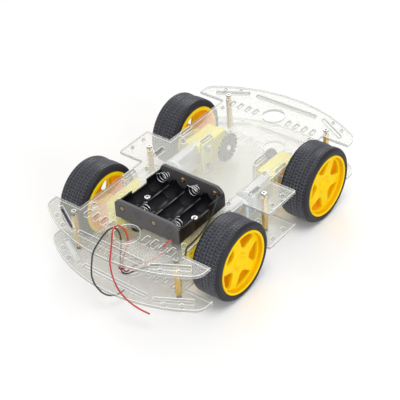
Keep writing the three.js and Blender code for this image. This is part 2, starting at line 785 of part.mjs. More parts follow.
// The encoder disc: notches round its edge and a hub towards the gearbox.
function encoderDisc() {
  const { outer, inner } = ENCODER;
  const points = [];
  for (let i = 0; i < ENCODER.notches; i++) {
    const step = (2 * Math.PI) / ENCODER.notches;
    const start = i * step;
    for (const [radius, share] of [[outer, 0], [outer, 0.55], [inner, 0.6], [inner, 0.95]]) {
      const angle = start + share * step;
      points.push(new THREE.Vector2(radius * Math.cos(angle), radius * Math.sin(angle)));
    }
  }
  const discFrom = SHAFT.fromY + 0.6;
  const discTo = discFrom + ENCODER.thick;
  const body = join(
    plateY(new THREE.Shape(points), discFrom, discTo),
    rodY(ENCODER.hubRadius, discTo - 0.2, discFrom + ENCODER.hubLength, 0, 0, 12),
  );
  return cut(body, flattedRod(SLIP, discFrom - 1, discFrom + 6));
}

// ---- Wheels ---------------------------------------------------------------------------------

const RIM = {
  flangeRadius: 26.3,
  flangeThick: 1.5,
  barrelRadius: 24.7,
  boreRadius: 23.2,
  starRadius: 23.8,
  starDepth: 3.2,
  starThick: 2.6,
  hubRadius: 6.2,
  spokeWidth: 8.4,
  windowInner: 11.8,
  windowOuter: 22.4,
};
const WHEEL_SIDES = 28;

// A closed profile of radius and y, turned round the axle.
function turned(profile) {
  const points = [...profile, profile[0]].map(([r, y]) => new THREE.Vector2(r, y));
  return solid(new THREE.LatheGeometry(points, WHEEL_SIDES));
}

// The disc with five spokes, one of them pointing up.
function starDisc(fromY, toY) {
  const disc = polygon(0, 0, RIM.starRadius, WHEEL_SIDES);
  const spokes = 5;
  for (let i = 0; i < spokes; i++) {
    const middle = Math.PI / 2 + (2 * Math.PI * (i + 0.5)) / spokes;
    const outerHalf = Math.PI / spokes - Math.asin(RIM.spokeWidth / 2 / RIM.windowOuter);
    const innerHalf = Math.PI / spokes - Math.asin(RIM.spokeWidth / 2 / RIM.windowInner);
    const corners = [
      [RIM.windowInner, -innerHalf * 0.6],
      [RIM.windowInner, innerHalf * 0.6],
      [RIM.windowOuter - 1, outerHalf],
      [RIM.windowOuter, 0],
      [RIM.windowOuter - 1, -outerHalf],
    ];
    const points = corners.map(
      ([radius, turn]) =>
        new THREE.Vector2(radius * Math.cos(middle + turn), radius * Math.sin(middle + turn)),
    );
    disc.holes.push(new THREE.Path(points));
  }
  return plateY(disc, fromY, toY);
}

function wheelRim() {
  const inner = WHEEL_INNER_Y;
  const outer = WHEEL_INNER_Y + WHEEL_WIDTH;
  const flange = RIM.flangeThick;
  const barrel = turned([
    [RIM.boreRadius, inner],
    [RIM.flangeRadius, inner],
    [RIM.flangeRadius, inner + flange],
    [RIM.barrelRadius, inner + flange],
    [RIM.barrelRadius, outer - flange],
    [RIM.flangeRadius, outer - flange],
    [RIM.flangeRadius, outer],
    [RIM.boreRadius + 1.2, outer],
    [RIM.boreRadius, outer - 1.6],
  ]);
  const starTo = outer - RIM.starDepth;
  const hubFrom = BRACKET.outerY + BRACKET.thick + 1;
  const boreTo = SHAFT.toY + 1;
  const rim = join(
    barrel,
    starDisc(starTo - RIM.starThick, starTo),
    rodY(RIM.hubRadius, hubFrom, starTo, 0, 0, 12),
  );
  return cut(rim, flattedRod(SLIP, hubFrom - 1, boreTo), rodY(3.2, starTo - 1.4, starTo + 1, 0, 0, 8));
}

function tyre() {
  const inner = WHEEL_INNER_Y;
  const outer = WHEEL_INNER_Y + WHEEL_WIDTH;
  const bead = RIM.flangeThick + PLAY;
  const lip = RIM.flangeRadius + PLAY;
  const shoulder = WHEEL_RADIUS - 1.9;
  return turned([
    [RIM.barrelRadius + PLAY, inner + bead],
    [lip, inner + bead],
    [lip, inner + 0.5],
    [shoulder, inner + 0.5],
    [WHEEL_RADIUS, inner + 3.4],
    [WHEEL_RADIUS, outer - 3.4],
    [shoulder, outer - 0.5],
    [lip, outer - 0.5],
    [lip, outer - bead],
    [RIM.barrelRadius + PLAY, outer - bead],
  ]);
}

// ---- Assembly -------------------------------------------------------------------------------

// A group whose meshes are turned about an axis at a place, in the corner's local frame.
function turning(meshes, axis, angle, place) {
  const group = new THREE.Group();
  group.position.set(...place);
  group.setRotationFromAxisAngle(new THREE.Vector3(...axis), angle);
  group.add(...meshes);
  return group;
}

// The wheel turns by wheelTurn at rest, and the gears turn with it by their ratios.
function corner({ name, x, turn, up, wheelTurn }) {
  const angle = THREE.MathUtils.degToRad(wheelTurn);
  const middleTurn = -STAGE_RATIO * angle;
  const crownTurn = -STAGE_RATIO * middleTurn;
  const pinionTurn = -CROWN_RATIO * crownTurn;
  const group = new THREE.Group();
  group.position.set(x, 0, WHEEL_RADIUS);
  group.rotation.set(...turn);
  group.add(
    node(`gearbox_case_${name}`, gearboxCase(), MATERIALS.yellowPlastic),
    node(`gearbox_cover_${name}`, gearboxCover(), MATERIALS.yellowPlastic),
    node(`motor_can_${name}`, motorCan(), MATERIALS.steel),
    node(`bracket_outer_${name}`, bracket(BRACKET.outerY, up), MATERIALS.acrylic),
    node(`bracket_inner_${name}`, bracket(BRACKET.innerY, up), MATERIALS.acrylic),
  );
  const wheelParts = [
    node(`tyre_${name}`, tyre(), MATERIALS.rubber),
    node(`wheel_rim_${name}`, wheelRim(), MATERIALS.yellowPlastic),
    node(`output_shaft_${name}`, outputShaft(), MATERIALS.whitePlastic),
    node(`encoder_disc_${name}`, encoderDisc(), MATERIALS.blackPlastic),
  ];
  const middle = node(`middle_gear_${name}`, middleGear(), MATERIALS.whitePlastic);
  const crown = node(`crown_gear_${name}`, crownGear(), MATERIALS.whitePlastic);
  const pinion = node(`motor_pinion_${name}`, motorPinion(), MATERIALS.brass);
  group.add(
    turning(wheelParts, [0, 1, 0], angle, [0, 0, 0]),
    turning([middle], [0, 1, 0], middleTurn, [MIDDLE_X, 0, MIDDLE_Z]),
    turning([crown], [0, 1, 0], crownTurn, [CROWN_X, 0, 0]),
    turning([pinion], [1, 0, 0], pinionTurn, [0, GEARBOX_MID_Y, 0]),
  );
  return group;
}

const chassis = new THREE.Group();
chassis.add(...decks());
chassis.add(...STANDOFF_PLACES.map((place) => standoff(...place)));
chassis.add(batteryHolder());
chassis.add(lead("battery_lead_red", RED_ROUTE, MATERIALS.redLead));
chassis.add(lead("battery_lead_black", BLACK_ROUTE, MATERIALS.blackLead));
chassis.add(leadTie());
chassis.add(...CORNERS.map(corner));

export default chassis;
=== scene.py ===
import math

import bmesh
import bpy
from mathutils import Matrix, Quaternion, Vector


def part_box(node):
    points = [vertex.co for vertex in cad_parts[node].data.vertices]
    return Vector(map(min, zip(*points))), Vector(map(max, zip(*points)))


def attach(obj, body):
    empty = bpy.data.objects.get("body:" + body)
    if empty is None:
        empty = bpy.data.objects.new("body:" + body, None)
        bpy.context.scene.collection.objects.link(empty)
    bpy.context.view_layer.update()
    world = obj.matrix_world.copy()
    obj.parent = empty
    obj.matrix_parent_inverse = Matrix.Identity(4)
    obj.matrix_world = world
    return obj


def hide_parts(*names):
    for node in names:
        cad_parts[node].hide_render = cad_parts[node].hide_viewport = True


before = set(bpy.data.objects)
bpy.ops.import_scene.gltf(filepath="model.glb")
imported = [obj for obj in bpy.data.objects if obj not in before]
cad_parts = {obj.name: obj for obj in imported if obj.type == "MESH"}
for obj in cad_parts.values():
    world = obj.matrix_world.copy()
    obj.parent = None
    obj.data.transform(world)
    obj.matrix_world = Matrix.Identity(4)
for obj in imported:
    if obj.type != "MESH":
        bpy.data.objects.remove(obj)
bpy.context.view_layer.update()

MM = 0.001

# ---- Camera ---------------------------------------------------------------------------------

CAMERA_PLACE = (0.5572, 0.4652, 0.5727)
CAMERA_AIM = (0.0150, 0.0054, 0.0330)
CAMERA_ROLL = -3.98
CAMERA_LENS = 99.6
SENSOR_WIDTH = 36
CLIP_START = 0.01


def make_camera():
    data = bpy.data.cameras.new("camera")
    data.lens = CAMERA_LENS
    data.sensor_width = SENSOR_WIDTH
    data.clip_start = CLIP_START
    camera = bpy.data.objects.new("camera", data)
    camera.location = CAMERA_PLACE
    aim = Vector(CAMERA_AIM) - camera.location
    roll = Quaternion((0, 0, 1), math.radians(CAMERA_ROLL))
    camera.rotation_mode = "QUATERNION"
    camera.rotation_quaternion = aim.to_track_quat("-Z", "Y") @ roll
    bpy.context.scene.collection.objects.link(camera)
    bpy.context.scene.camera = camera


make_camera()

# ---- Sizes, from the frame -------------------------------------------------------------------

CORNERS = ["front_left", "front_right", "rear_left", "rear_right"]
STANDOFFS = CORNERS + ["middle_left", "middle_right"]
LOWER_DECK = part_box("bottom_deck")
UPPER_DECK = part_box("top_deck")
DECK_THICK = UPPER_DECK[1].z - UPPER_DECK[0].z
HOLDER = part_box("battery_holder")
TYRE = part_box("tyre_front_left")
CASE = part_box("gearbox_case_front_left")
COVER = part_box("gearbox_cover_front_left")
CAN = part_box("motor_can_front_left")
BRACKET_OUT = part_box("bracket_outer_front_left")
BRACKET_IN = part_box("bracket_inner_front_left")
WHEEL_RADIUS = 32.5 * MM
WHEEL_WIDTH = 26.8 * MM
WHEEL_OUTER_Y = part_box("wheel_rim_front_left")[1].y
WHEEL_INNER_Y = WHEEL_OUTER_Y - WHEEL_WIDTH
AXLE_X = (TYRE[0].x + TYRE[1].x) / 2
AXLE_Z = WHEEL_RADIUS
MOTOR_Y = (CAN[0].y + CAN[1].y) / 2

# ---- Materials -------------------------------------------------------------------------------

NOISE_DETAIL = 3.0
BUMP_STRENGTH = 10
BUMP_HEIGHT = 0.1 * MM


def socket_range(tree, source, low, high):
    """Maps a 0 to 1 value on to low to high."""
    node = tree.nodes.new("ShaderNodeMapRange")
    node.inputs["To Min"].default_value = low
    node.inputs["To Max"].default_value = high
    tree.links.new(source, node.inputs["Value"])
    return node.outputs["Result"]


def noise(tree, vector, scale):
    """Soft noise from 0 to 1."""
    node = tree.nodes.new("ShaderNodeTexNoise")
    node.inputs["Scale"].default_value = scale
    node.inputs["Detail"].default_value = NOISE_DETAIL
    tree.links.new(vector, node.inputs["Vector"])
    return node.outputs["Fac"]


def stretched_coordinates(tree, stretch):
    """Object coordinates, squeezed along each axis by the given factors."""
    place = tree.nodes.new("ShaderNodeTexCoord")
    mapping = tree.nodes.new("ShaderNodeMapping")
    mapping.inputs["Scale"].default_value = stretch
    tree.links.new(place.outputs["Object"], mapping.inputs["Vector"])
    return mapping.outputs["Vector"]


def material(name, color, roughness, metallic=0.0, patch=90, grain=1800, swing=0.08,
             rough_swing=0.08, bump=0.02, stretch=(1, 1, 1), **sockets):
    """A surface whose colour and roughness drift over patches, with a fine bumpy grain."""
    made = bpy.data.materials.new(name)
    made.use_nodes = True
    tree = made.node_tree
    shader = tree.nodes["Principled BSDF"]
    vector = stretched_coordinates(tree, stretch)
    drift = noise(tree, vector, patch)
    mix = tree.nodes.new("ShaderNodeMix")
    mix.data_type = "RGBA"
    mix.inputs["A"].default_value = (*[c * (1 - swing) for c in color], 1)
    mix.inputs["B"].default_value = (*[min(1, c * (1 + swing)) for c in color], 1)
    tree.links.new(drift, mix.inputs["Factor"])
    tree.links.new(mix.outputs["Result"], shader.inputs["Base Color"])
    rough = socket_range(tree, drift, roughness - rough_swing, roughness + rough_swing)
    tree.links.new(rough, shader.inputs["Roughness"])
    shader.inputs["Metallic"].default_value = metallic
    raised = tree.nodes.new("ShaderNodeBump")
    raised.inputs["Strength"].default_value = bump * BUMP_STRENGTH
    raised.inputs["Distance"].default_value = BUMP_HEIGHT
    tree.links.new(noise(tree, vector, grain), raised.inputs["Height"])
    tree.links.new(raised.outputs["Normal"], shader.inputs["Normal"])
    for socket, value in sockets.items():
        shader.inputs[socket.replace("_", " ")].default_value = value
    return made


# Clear acrylic faces in a part opaque grey-beige: a painted reflection veil over what lies below, and
# painted shade on the floor seen through.
ACRYLIC_FACE_VEIL = material("acrylic_face_painted_veil", (0.44, 0.44, 0.38), 0.05, bump=0.0003, swing=0.03,
                        rough_swing=0.03, Alpha=0.31, IOR=1.8)
# The cut sides in a darker grey: painted shade for the dark lines that clear edges show. The streaks
# along them are the cut's grain.
ACRYLIC_SIDE_SHADE = material("acrylic_side_painted_shade", (0.32, 0.33, 0.32), 0.2, bump=0.02, swing=0.3,
                        stretch=(1, 1, 0.05), Alpha=0.5)
# The rounded edges in near-opaque white: a painted highlight along every edge of the clear sheet.
ACRYLIC_EDGE_HIGHLIGHT = material("acrylic_edge_painted_highlight", (0.98, 0.99, 0.97), 0.2, bump=0.005, swing=0.02,
                        Alpha=0.95)
ACRYLIC = [ACRYLIC_FACE_VEIL, ACRYLIC_SIDE_SHADE, ACRYLIC_EDGE_HIGHLIGHT]
RUBBER = material("tyre_rubber", (0.012, 0.011, 0.016), 0.55, grain=2600, swing=0.2, bump=0.03,
                  Specular_IOR_Level=0.35)
TREAD = material("tyre_tread", (0.009, 0.009, 0.013), 0.34, patch=700, grain=2600, swing=0.7,
                 rough_swing=0.12, bump=0.08, Specular_IOR_Level=0.6)
# Paler rubber for the groove walls: a painted highlight along the tread pattern.
GROOVE_HIGHLIGHT = material("tyre_groove_painted_highlight", (0.10, 0.104, 0.125), 0.5, patch=1100, grain=2600, swing=0.95,
                  bump=0.05)
RIM_YELLOW = material("rim_yellow", (0.84, 0.57, 0.003), 0.38, swing=0.04, bump=0.008,
                      Specular_IOR_Level=0.06)
# The rim's deep inside in a deeper orange with a faint glow: painted light, standing for light
# bouncing inside and shining through the yellow plastic.
RIM_GLOW_ORANGE = material("rim_inner_painted_glow", (0.92, 0.45, 0.001), 0.45, swing=0.06, bump=0.01,
                    Specular_IOR_Level=0.05, Emission_Color=(0.9, 0.36, 0.0, 1),
                    Emission_Strength=0.16)
# The barrel's inner wall in a darker orange-brown: painted shade inside the rim.
RIM_SHADED_WALL = material("rim_wall_painted_shade", (0.72, 0.40, 0.002), 0.42, swing=0.06, bump=0.01,
                    Specular_IOR_Level=0.06)
CASE_YELLOW = material("gearbox_yellow", (0.85, 0.75, 0.04), 0.42, swing=0.04, bump=0.02,
                       Specular_IOR_Level=0.3)
HOLDER_BLACK = material("holder_black", (0.004, 0.004, 0.006), 0.32, swing=0.2, bump=0.006,
                        grain=900, Specular_IOR_Level=0.24)
# The end walls are grey, lighter than the tray's black of the same moulding: painted light on the end
# walls.
WALL_LIT_GREY = material("holder_wall_painted_light", (0.088, 0.083, 0.085), 0.5, swing=0.12, bump=0.03, grain=1200)
BRASS = material("brass", (0.78, 0.56, 0.22), 0.28, 1.0, swing=0.08, bump=0.01,
                 stretch=(1, 1, 0.08))
SPRING_STEEL = material("spring_steel", (0.95, 0.96, 0.97), 0.35, 1.0, swing=0.04, bump=0.004)
SCREW_STEEL = material("screw_steel", (0.62, 0.62, 0.61), 0.32, 1.0, swing=0.06, bump=0.01)
CAN_STEEL = material("can_steel", (0.72, 0.73, 0.76), 0.30, 1.0, swing=0.06, bump=0.012,
                     stretch=(0.1, 1, 1))
COPPER = material("copper", (0.85, 0.45, 0.25), 0.32, 1.0, swing=0.08, bump=0.01)
NYLON_WHITE = material("white_nylon", (0.86, 0.85, 0.80), 0.45, swing=0.04, bump=0.01)
CAP_PALE = material("cap_plastic", (0.66, 0.73, 0.78), 0.40, swing=0.05, bump=0.01)
STRAP_CLEAR = material("strap_clear", (0.88, 0.90, 0.92), 0.2, swing=0.03, bump=0.004, Alpha=0.45)
ENCODER_BLACK = material("encoder_black", (0.035, 0.033, 0.035), 0.4, swing=0.15, bump=0.02)
RED_INSULATION = material("red_insulation", (0.46, 0.040, 0.034), 0.42, swing=0.1, bump=0.01)
BLACK_INSULATION = material("black_insulation", (0.022, 0.024, 0.024), 0.36, swing=0.15, bump=0.01)

# ---- Mesh builders ---------------------------------------------------------------------------

WELD_DISTANCE = 0.002 * MM
CAD_WELD_DISTANCE = 0.005 * MM
CAD_BEVEL_ANGLE = 40
PLATE_SMOOTH_ANGLE = 30
FLAT = 0.99  # a face's normal is along Z
UPRIGHT = 0.01  # a face's normal is across Z
LONGEST_CUT = 0.45  # the most of a side that one rounded corner takes


def link(name, mesh, body, matrix=None, replaces=()):
    """A piece from a mesh, put in place and made to ride on a body."""
    piece = bpy.data.objects.new(name, mesh)
    bpy.context.scene.collection.objects.link(piece)
    if matrix is not None:
        piece.matrix_world = matrix
    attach(piece, body)
    if replaces:
        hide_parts(*replaces)
    return piece


def finished_mesh(name, bm, materials, smooth_angle=35):
    """A mesh from a bmesh, with its sharp edges kept sharp and the rest smooth."""
    bmesh.ops.remove_doubles(bm, verts=bm.verts, dist=WELD_DISTANCE)
    bmesh.ops.recalc_face_normals(bm, faces=bm.faces)
    limit = math.radians(smooth_angle)
    for edge in bm.edges:
        if len(edge.link_faces) == 2:
            edge.smooth = edge.calc_face_angle(0) < limit
    for face in bm.faces:
        face.smooth = True
    mesh = bpy.data.meshes.new(name)
    bm.to_mesh(mesh)
    bm.free()
    for one in materials:
        mesh.materials.append(one)
    return mesh


def joined(*meshes):
    """One mesh from several, which share their list of materials."""
    bm = bmesh.new()
    for mesh in meshes:
        bm.from_mesh(mesh)
    kept = list(meshes[0].materials)
    for mesh in meshes:
        bpy.data.meshes.remove(mesh)
    whole = bpy.data.meshes.new("joined")
    bm.to_mesh(whole)
    bm.free()
    for one in kept:
        whole.materials.append(one)
    return whole


def moved(mesh, matrix):
    mesh.transform(matrix)
    return mesh


def arc(x, y, radius, start, end, steps):
    """Points on an arc, with its angles in degrees."""
    angles = [math.radians(start + (end - start) * i / steps) for i in range(steps + 1)]
    return [(x + radius * math.cos(a), y + radius * math.sin(a)) for a in angles]


def circle(x, y, radius, steps=32):
    return arc(x, y, radius, 0, 360 * (steps - 1) / steps, steps - 1)


def rounded(corners, radius, steps):
    """A polygon whose corners are rounded by quadratic curves."""
    points = []
    count = len(corners)
    for i, corner in enumerate(corners):
        here = Vector(corner)
        ends = []
        for other in (corners[i - 1], corners[(i + 1) % count]):
            side = Vector(other) - here
            ends.append(here + side.normalized() * min(radius, side.length * LONGEST_CUT))
        for k in range(steps + 1):
            t = k / steps
            point = ends[0] * (1 - t) ** 2 + here * 2 * t * (1 - t) + ends[1] * t * t
            points.append((point.x, point.y))
    return points


def slot_outline(x, y, length, width, angle=0, corner=0.6 * MM):
    """A rectangle with rounded corners, its long side turned by an angle in radians."""
    turn = Matrix.Rotation(angle, 2)
    half = [(length / 2, width / 2), (-length / 2, width / 2)]
    corners = half + [(-a, -b) for a, b in half]
    placed = [turn @ Vector(c) + Vector((x, y)) for c in corners]
    return rounded([tuple(p) for p in placed], corner, 3)


def plate(name, outline, holes, thick, materials, bevel=0.2 * MM, rings=1, puffed=False):
    """A flat plate on the XY plane, from z = 0 up. Its faces, sides and rounded edges take the
    first, second and third material, or the first where there is only one. A puffed plate is
    shaded as if its faces swelled a little."""
    curve = bpy.data.curves.new(name, "CURVE")
    curve.dimensions = "2D"
    curve.fill_mode = "BOTH"
    curve.extrude = thick / 2 - bevel
    curve.bevel_depth = bevel
    curve.bevel_resolution = rings
    curve.offset = -bevel
    for loop in [outline, *holes]:
        spline = curve.splines.new("POLY")
        spline.points.add(len(loop) - 1)
        for point, place in zip(spline.points, loop):
            point.co = (place[0], place[1], 0, 1)
        spline.use_cyclic_u = True
    holder = bpy.data.objects.new(name, curve)
    bpy.context.scene.collection.objects.link(holder)
    bpy.context.view_layer.update()
    shape = bpy.data.meshes.new_from_object(
        holder.evaluated_get(bpy.context.evaluated_depsgraph_get())
    )
    bpy.data.objects.remove(holder)
    bpy.data.curves.remove(curve)
    bm = bmesh.new()
    bm.from_mesh(shape)
    bpy.data.meshes.remove(shape)
    bmesh.ops.translate(bm, verts=bm.verts, vec=(0, 0, thick / 2))
    bm.normal_update()
    for face in bm.faces:
        lift = abs(face.normal.z)
        face.material_index = 0
        if len(materials) == 3:
            face.material_index = 0 if lift > FLAT else 1 if lift < UPRIGHT else 2
    mesh = finished_mesh(name, bm, materials, PLATE_SMOOTH_ANGLE)
    for face in mesh.polygons:
        face.use_smooth = puffed or abs(face.normal.z) < FLAT
    return mesh


def lathe(name, profile, materials, steps=64):
    """A closed profile of (radius, height) points, turned about the Z axis."""
    bm = bmesh.new()
    rings = []
    for i in range(steps):
        turn = 2 * math.pi * i / steps
        rings.append([bm.verts.new((r * math.cos(turn), r * math.sin(turn), z))
                      for r, z in profile])
    for i in range(steps):
        here = rings[i]
        following = rings[(i + 1) % steps]
        for k in range(len(profile)):
            other = (k + 1) % len(profile)
            bm.faces.new((here[k], following[k], following[other], here[other]))
    return finished_mesh(name, bm, materials)


def wire(name, points, radius, one_material, cyclic=False, steps=8, rings=4):
    """A round wire through the points, as a mesh."""
    curve = bpy.data.curves.new(name, "CURVE")
    curve.dimensions = "3D"
    curve.bevel_depth = radius
    curve.bevel_resolution = rings
    curve.use_fill_caps = True
    curve.resolution_u = steps
    spline = curve.splines.new("BEZIER")
    spline.bezier_points.add(len(points) - 1)
    for point, place in zip(spline.bezier_points, points):
        point.co = place
        point.handle_left_type = point.handle_right_type = "AUTO"
    spline.use_cyclic_u = cyclic
    holder = bpy.data.objects.new(name, curve)
    bpy.context.scene.collection.objects.link(holder)
    bpy.context.view_layer.update()
    mesh = bpy.data.meshes.new_from_object(
        holder.evaluated_get(bpy.context.evaluated_depsgraph_get())
    )
    bpy.data.objects.remove(holder)
    bpy.data.curves.remove(curve)
    mesh.materials.clear()
    mesh.materials.append(one_material)
    for face in mesh.polygons:
        face.use_smooth = True
    return mesh


# Turns a piece drawn along Z on to X: its x becomes y, and its y becomes z.
LAY_ON_X = Matrix(((0, 0, 1, 0), (1, 0, 0, 0), (0, 1, 0, 0), (0, 0, 0, 1)))


def refine(node, width, one_material):
    """Shows a CAD node itself, in its material and with its sharp edges softened."""
    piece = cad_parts[node]
    piece.data.materials.clear()
    piece.data.materials.append(one_material)
    weld = piece.modifiers.new("weld", "WELD")
    weld.merge_threshold = CAD_WELD_DISTANCE
    if width:
        soften = piece.modifiers.new("soften", "BEVEL")
        soften.width = width
        soften.segments = 2
        soften.limit_method = "ANGLE"
        soften.angle_limit = math.radians(CAD_BEVEL_ANGLE)
        soften.use_clamp_overlap = True
    return piece


# ---- Leads -----------------------------------------------------------------------------------

LEAD_DIAMETER = 1.3 * MM
RED_ROUTE = [
    (0.0866, 0.0362, 0.0546), (0.0888, 0.0354, 0.0544), (0.0908, 0.0346, 0.0536),
    (0.0924, 0.0339, 0.0514), (0.0932, 0.0335, 0.0486), (0.0950, 0.0331, 0.0466),
    (0.0984, 0.0323, 0.0456), (0.1020, 0.0309, 0.0444), (0.1049, 0.0276, 0.0422),
    (0.1062, 0.0220, 0.0386), (0.1062, 0.0150, 0.0334), (0.1057, 0.0090, 0.0272),
    (0.1055, 0.0048, 0.0220), (0.1055, 0.0022, 0.0207),
    (0.1055, 0.0003, 0.0224), (0.1055, 0.0002, 0.0266), (0.1049, 0.0014, 0.0330),
    (0.1038, 0.0036, 0.0405), (0.1026, 0.0054, 0.0474), (0.1014, 0.0052, 0.0524),
    (0.1003, 0.0024, 0.0568), (0.1006, -0.0012, 0.0594), (0.1024, -0.0040, 0.0602),
    (0.1054, -0.0046, 0.0590), (0.1096, -0.0024, 0.0572), (0.1148, 0.0016, 0.0559),
    (0.1206, 0.0060, 0.0550), (0.1258, 0.0099, 0.0543), (0.1294, 0.0123, 0.0524),
    (0.1310, 0.0138, 0.0472), (0.1314, 0.0148, 0.0415), (0.1314, 0.0164, 0.0358),
    (0.1314, 0.0192, 0.0300), (0.1312, 0.0238, 0.0250), (0.1306, 0.0298, 0.0210),
    (0.1292, 0.0370, 0.0176), (0.1270, 0.0446, 0.0150),
]
BLACK_ROUTE = [
    (0.0324, 0.0354, 0.0616), (0.0350, 0.0392, 0.0646), (0.0386, 0.0424, 0.0654),
    (0.0424, 0.0436, 0.0624), (0.0466, 0.0438, 0.0576), (0.0520, 0.0446, 0.0536),
    (0.0600, 0.0466, 0.0528), (0.0700, 0.0486, 0.0527), (0.0800, 0.0496, 0.0527),
    (0.0874, 0.0506, 0.0532), (0.0908, 0.0524, 0.0514), (0.0917, 0.0522, 0.0476),
    (0.0936, 0.0482, 0.0452), (0.0974, 0.0434, 0.0440), (0.1018, 0.0374, 0.0424),
    (0.1054, 0.0296, 0.0388), (0.1074, 0.0208, 0.0330), (0.1077, 0.0124, 0.0266),
    (0.1077, 0.0062, 0.0218), (0.1077, 0.0024, 0.0206), (0.1077, 0.0003, 0.0224),
    (0.1077, 0.0002, 0.0266), (0.1072, 0.0004, 0.0330), (0.1064, 0.0010, 0.0405),
    (0.1054, 0.0016, 0.0474), (0.1042, 0.0006, 0.0526), (0.1029, -0.0024, 0.0562),
    (0.1029, -0.0060, 0.0575), (0.1056, -0.0084, 0.0572), (0.1106, -0.0087, 0.0564),
    (0.1174, -0.0074, 0.0556), (0.1242, -0.0056, 0.0546), (0.1298, -0.0042, 0.0522),
    (0.1314, -0.0046, 0.0464), (0.1318, -0.0062, 0.0370), (0.1318, -0.0066, 0.0280),
    (0.1316, -0.0030, 0.0206), (0.1294, 0.0034, 0.0150), (0.1234, 0.0074, 0.0124),
    (0.1152, 0.0086, 0.0116),
]
RED_LENGTH = 0.1955
BLACK_LENGTH = 0.2651
BARE_END = 3.5 * MM
BARE_START = 0.8 * MM  # how far the strands reach back into the insulation
STRANDS = 5
STRAND_STEPS = 6
STRAND_TWIST = 1.6
STRAND_OFFSET = 0.28 * MM
STRAND_RADIUS = 0.16 * MM
KNOT_POINTS = 15
KNOT_RING = 1.55
KNOT_SWING = 0.75
KNOT_RISE = 1.1
KNOT_SQUEEZE = 0.9
RED_KNOT_RADIUS = 0.75 * MM
BLACK_KNOT_RADIUS = 0.6 * MM
BLACK_KNOT_TURN = 0.9


def lead_curve(name, route, insulation):
    curve = bpy.data.curves.new(name, "CURVE")
    curve.dimensions = "3D"
    curve.bevel_depth = LEAD_DIAMETER / 2
    curve.bevel_resolution = 4
    curve.use_fill_caps = True
    curve.resolution_u = 8
    curve.materials.append(insulation)
    spline = curve.splines.new("BEZIER")
    spline.bezier_points.add(len(route) - 1)
    for point, place in zip(spline.bezier_points, route):
        point.co = place
        point.handle_left_type = point.handle_right_type = "AUTO"
    piece = bpy.data.objects.new(name, curve)
    bpy.context.scene.collection.objects.link(piece)
    return piece


def bare_tip(name, route):
    """The stripped and tinned end of a lead: a twist of fine strands."""
    end = Vector(route[-1])
    along = (end - Vector(route[-2])).normalized()
    side = along.orthogonal().normalized()
    strands = []
    for i in range(STRANDS):
        turn = Quaternion(along, 2 * math.pi * i / STRANDS)
        points = []
        for k in range(STRAND_STEPS + 1):
            twist = Quaternion(along, STRAND_TWIST * k / STRAND_STEPS)
            off = (twist @ (turn @ side)) * STRAND_OFFSET
            points.append(end + along * (BARE_END * (k / STRAND_STEPS) - BARE_START) + off)
        strands.append(wire("strand", points, STRAND_RADIUS, SPRING_STEEL, steps=2, rings=1))
    return link(name, joined(*strands), "chassis")


def knot_loop(centre, turn, radius, insulation):
    """A trefoil of one lead, in millimetres round the centre."""
    points = []
    for i in range(KNOT_POINTS):
        t = 2 * math.pi * i / KNOT_POINTS
        ring = KNOT_RING + KNOT_SWING * math.cos(3 * t)
        x = ring * math.cos(2 * t + turn)
        y = ring * math.sin(2 * t + turn)
        z = KNOT_RISE * math.sin(3 * t)
        points.append(centre + Vector((x, y, z * KNOT_SQUEEZE)) * MM)
    return wire("knot_loop", points, radius, insulation, cyclic=True, steps=6, rings=3)


def make_knot():
    """The knot that holds the two leads together between the decks."""
    low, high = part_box("lead_tie")
    centre = (low + high) / 2
    red = knot_loop(centre, 0, RED_KNOT_RADIUS, RED_INSULATION)
    black = knot_loop(centre, BLACK_KNOT_TURN, BLACK_KNOT_RADIUS, BLACK_INSULATION)
    tie = link("lead_knot", red, "chassis", replaces=["lead_tie"])
    wrap = link("lead_knot_black", black, "chassis")
    return [tie, wrap]


def make_leads():
    knot = make_knot()
    for name, route, length, insulation, node, tied in (
        ("red_lead", RED_ROUTE, RED_LENGTH, RED_INSULATION, "battery_lead_red", knot),
        ("black_lead", BLACK_ROUTE, BLACK_LENGTH, BLACK_INSULATION, "battery_lead_black", []),
    ):
        piece = lead_curve(name, route, insulation)
        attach(piece, "chassis")
        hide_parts(node)
        tip = bare_tip(f"{name}_bare_end", route)


make_leads()

# ---- Decks -----------------------------------------------------------------------------------

HALF_LENGTH = UPPER_DECK[1].x
DECK_ARC = 136 * MM
TIP_HALF_WIDTH = 77 * MM
TIP_ARC_Y = 69 * MM
TIP_STRAIGHT_X = 98 * MM
NOTCH_X = 93 * MM
WAIST_Y = 51.4 * MM
WING_X = 18.2 * MM
WING_Y = 76.2 * MM
WING_CORNER = 1.5 * MM
DECK_BEVEL = 0.3 * MM
SCREW_HOLE = 1.6 * MM
SMALL_HOLES = [(115.6, 48.3), (109.2, 60.6), (7, 71.2), (83.6, 44.9), (24, 41.7)]
WIRE_HOLE_X = 96.5 * MM
WIRE_HOLE_RADIUS = 10 * MM
LONG_SLOT_X = 115.7 * MM
LONG_SLOT_LENGTH = 63 * MM
LONG_SLOT_WIDTH = 3 * MM
SLANT_MIDDLE = (108 * MM, 51.5 * MM)
SLANT_RUN = (-15 * MM, 27 * MM)
SHORT_SLOT_X = 94 * MM
SHORT_SLOT_YS = [17 + 8.2 * i for i in range(4)]
SHORT_SLOT = (7 * MM, 3.2 * MM)
BRACKET_SLOT_X = 37.25 * MM
BRACKET_SLOT_YS = (48.7 * MM, 27.4 * MM)
MIDDLE_SLOT_Y = 48.8 * MM
BRACKET_SLOT = (12.4 * MM, 3.4 * MM)
BRACKET_SLOT_CORNER = 0.3 * MM


def let_light_through(piece):
    """Clear sheet casts no shadow worth seeing."""
    piece.visible_shadow = False
    piece.visible_diffuse = False


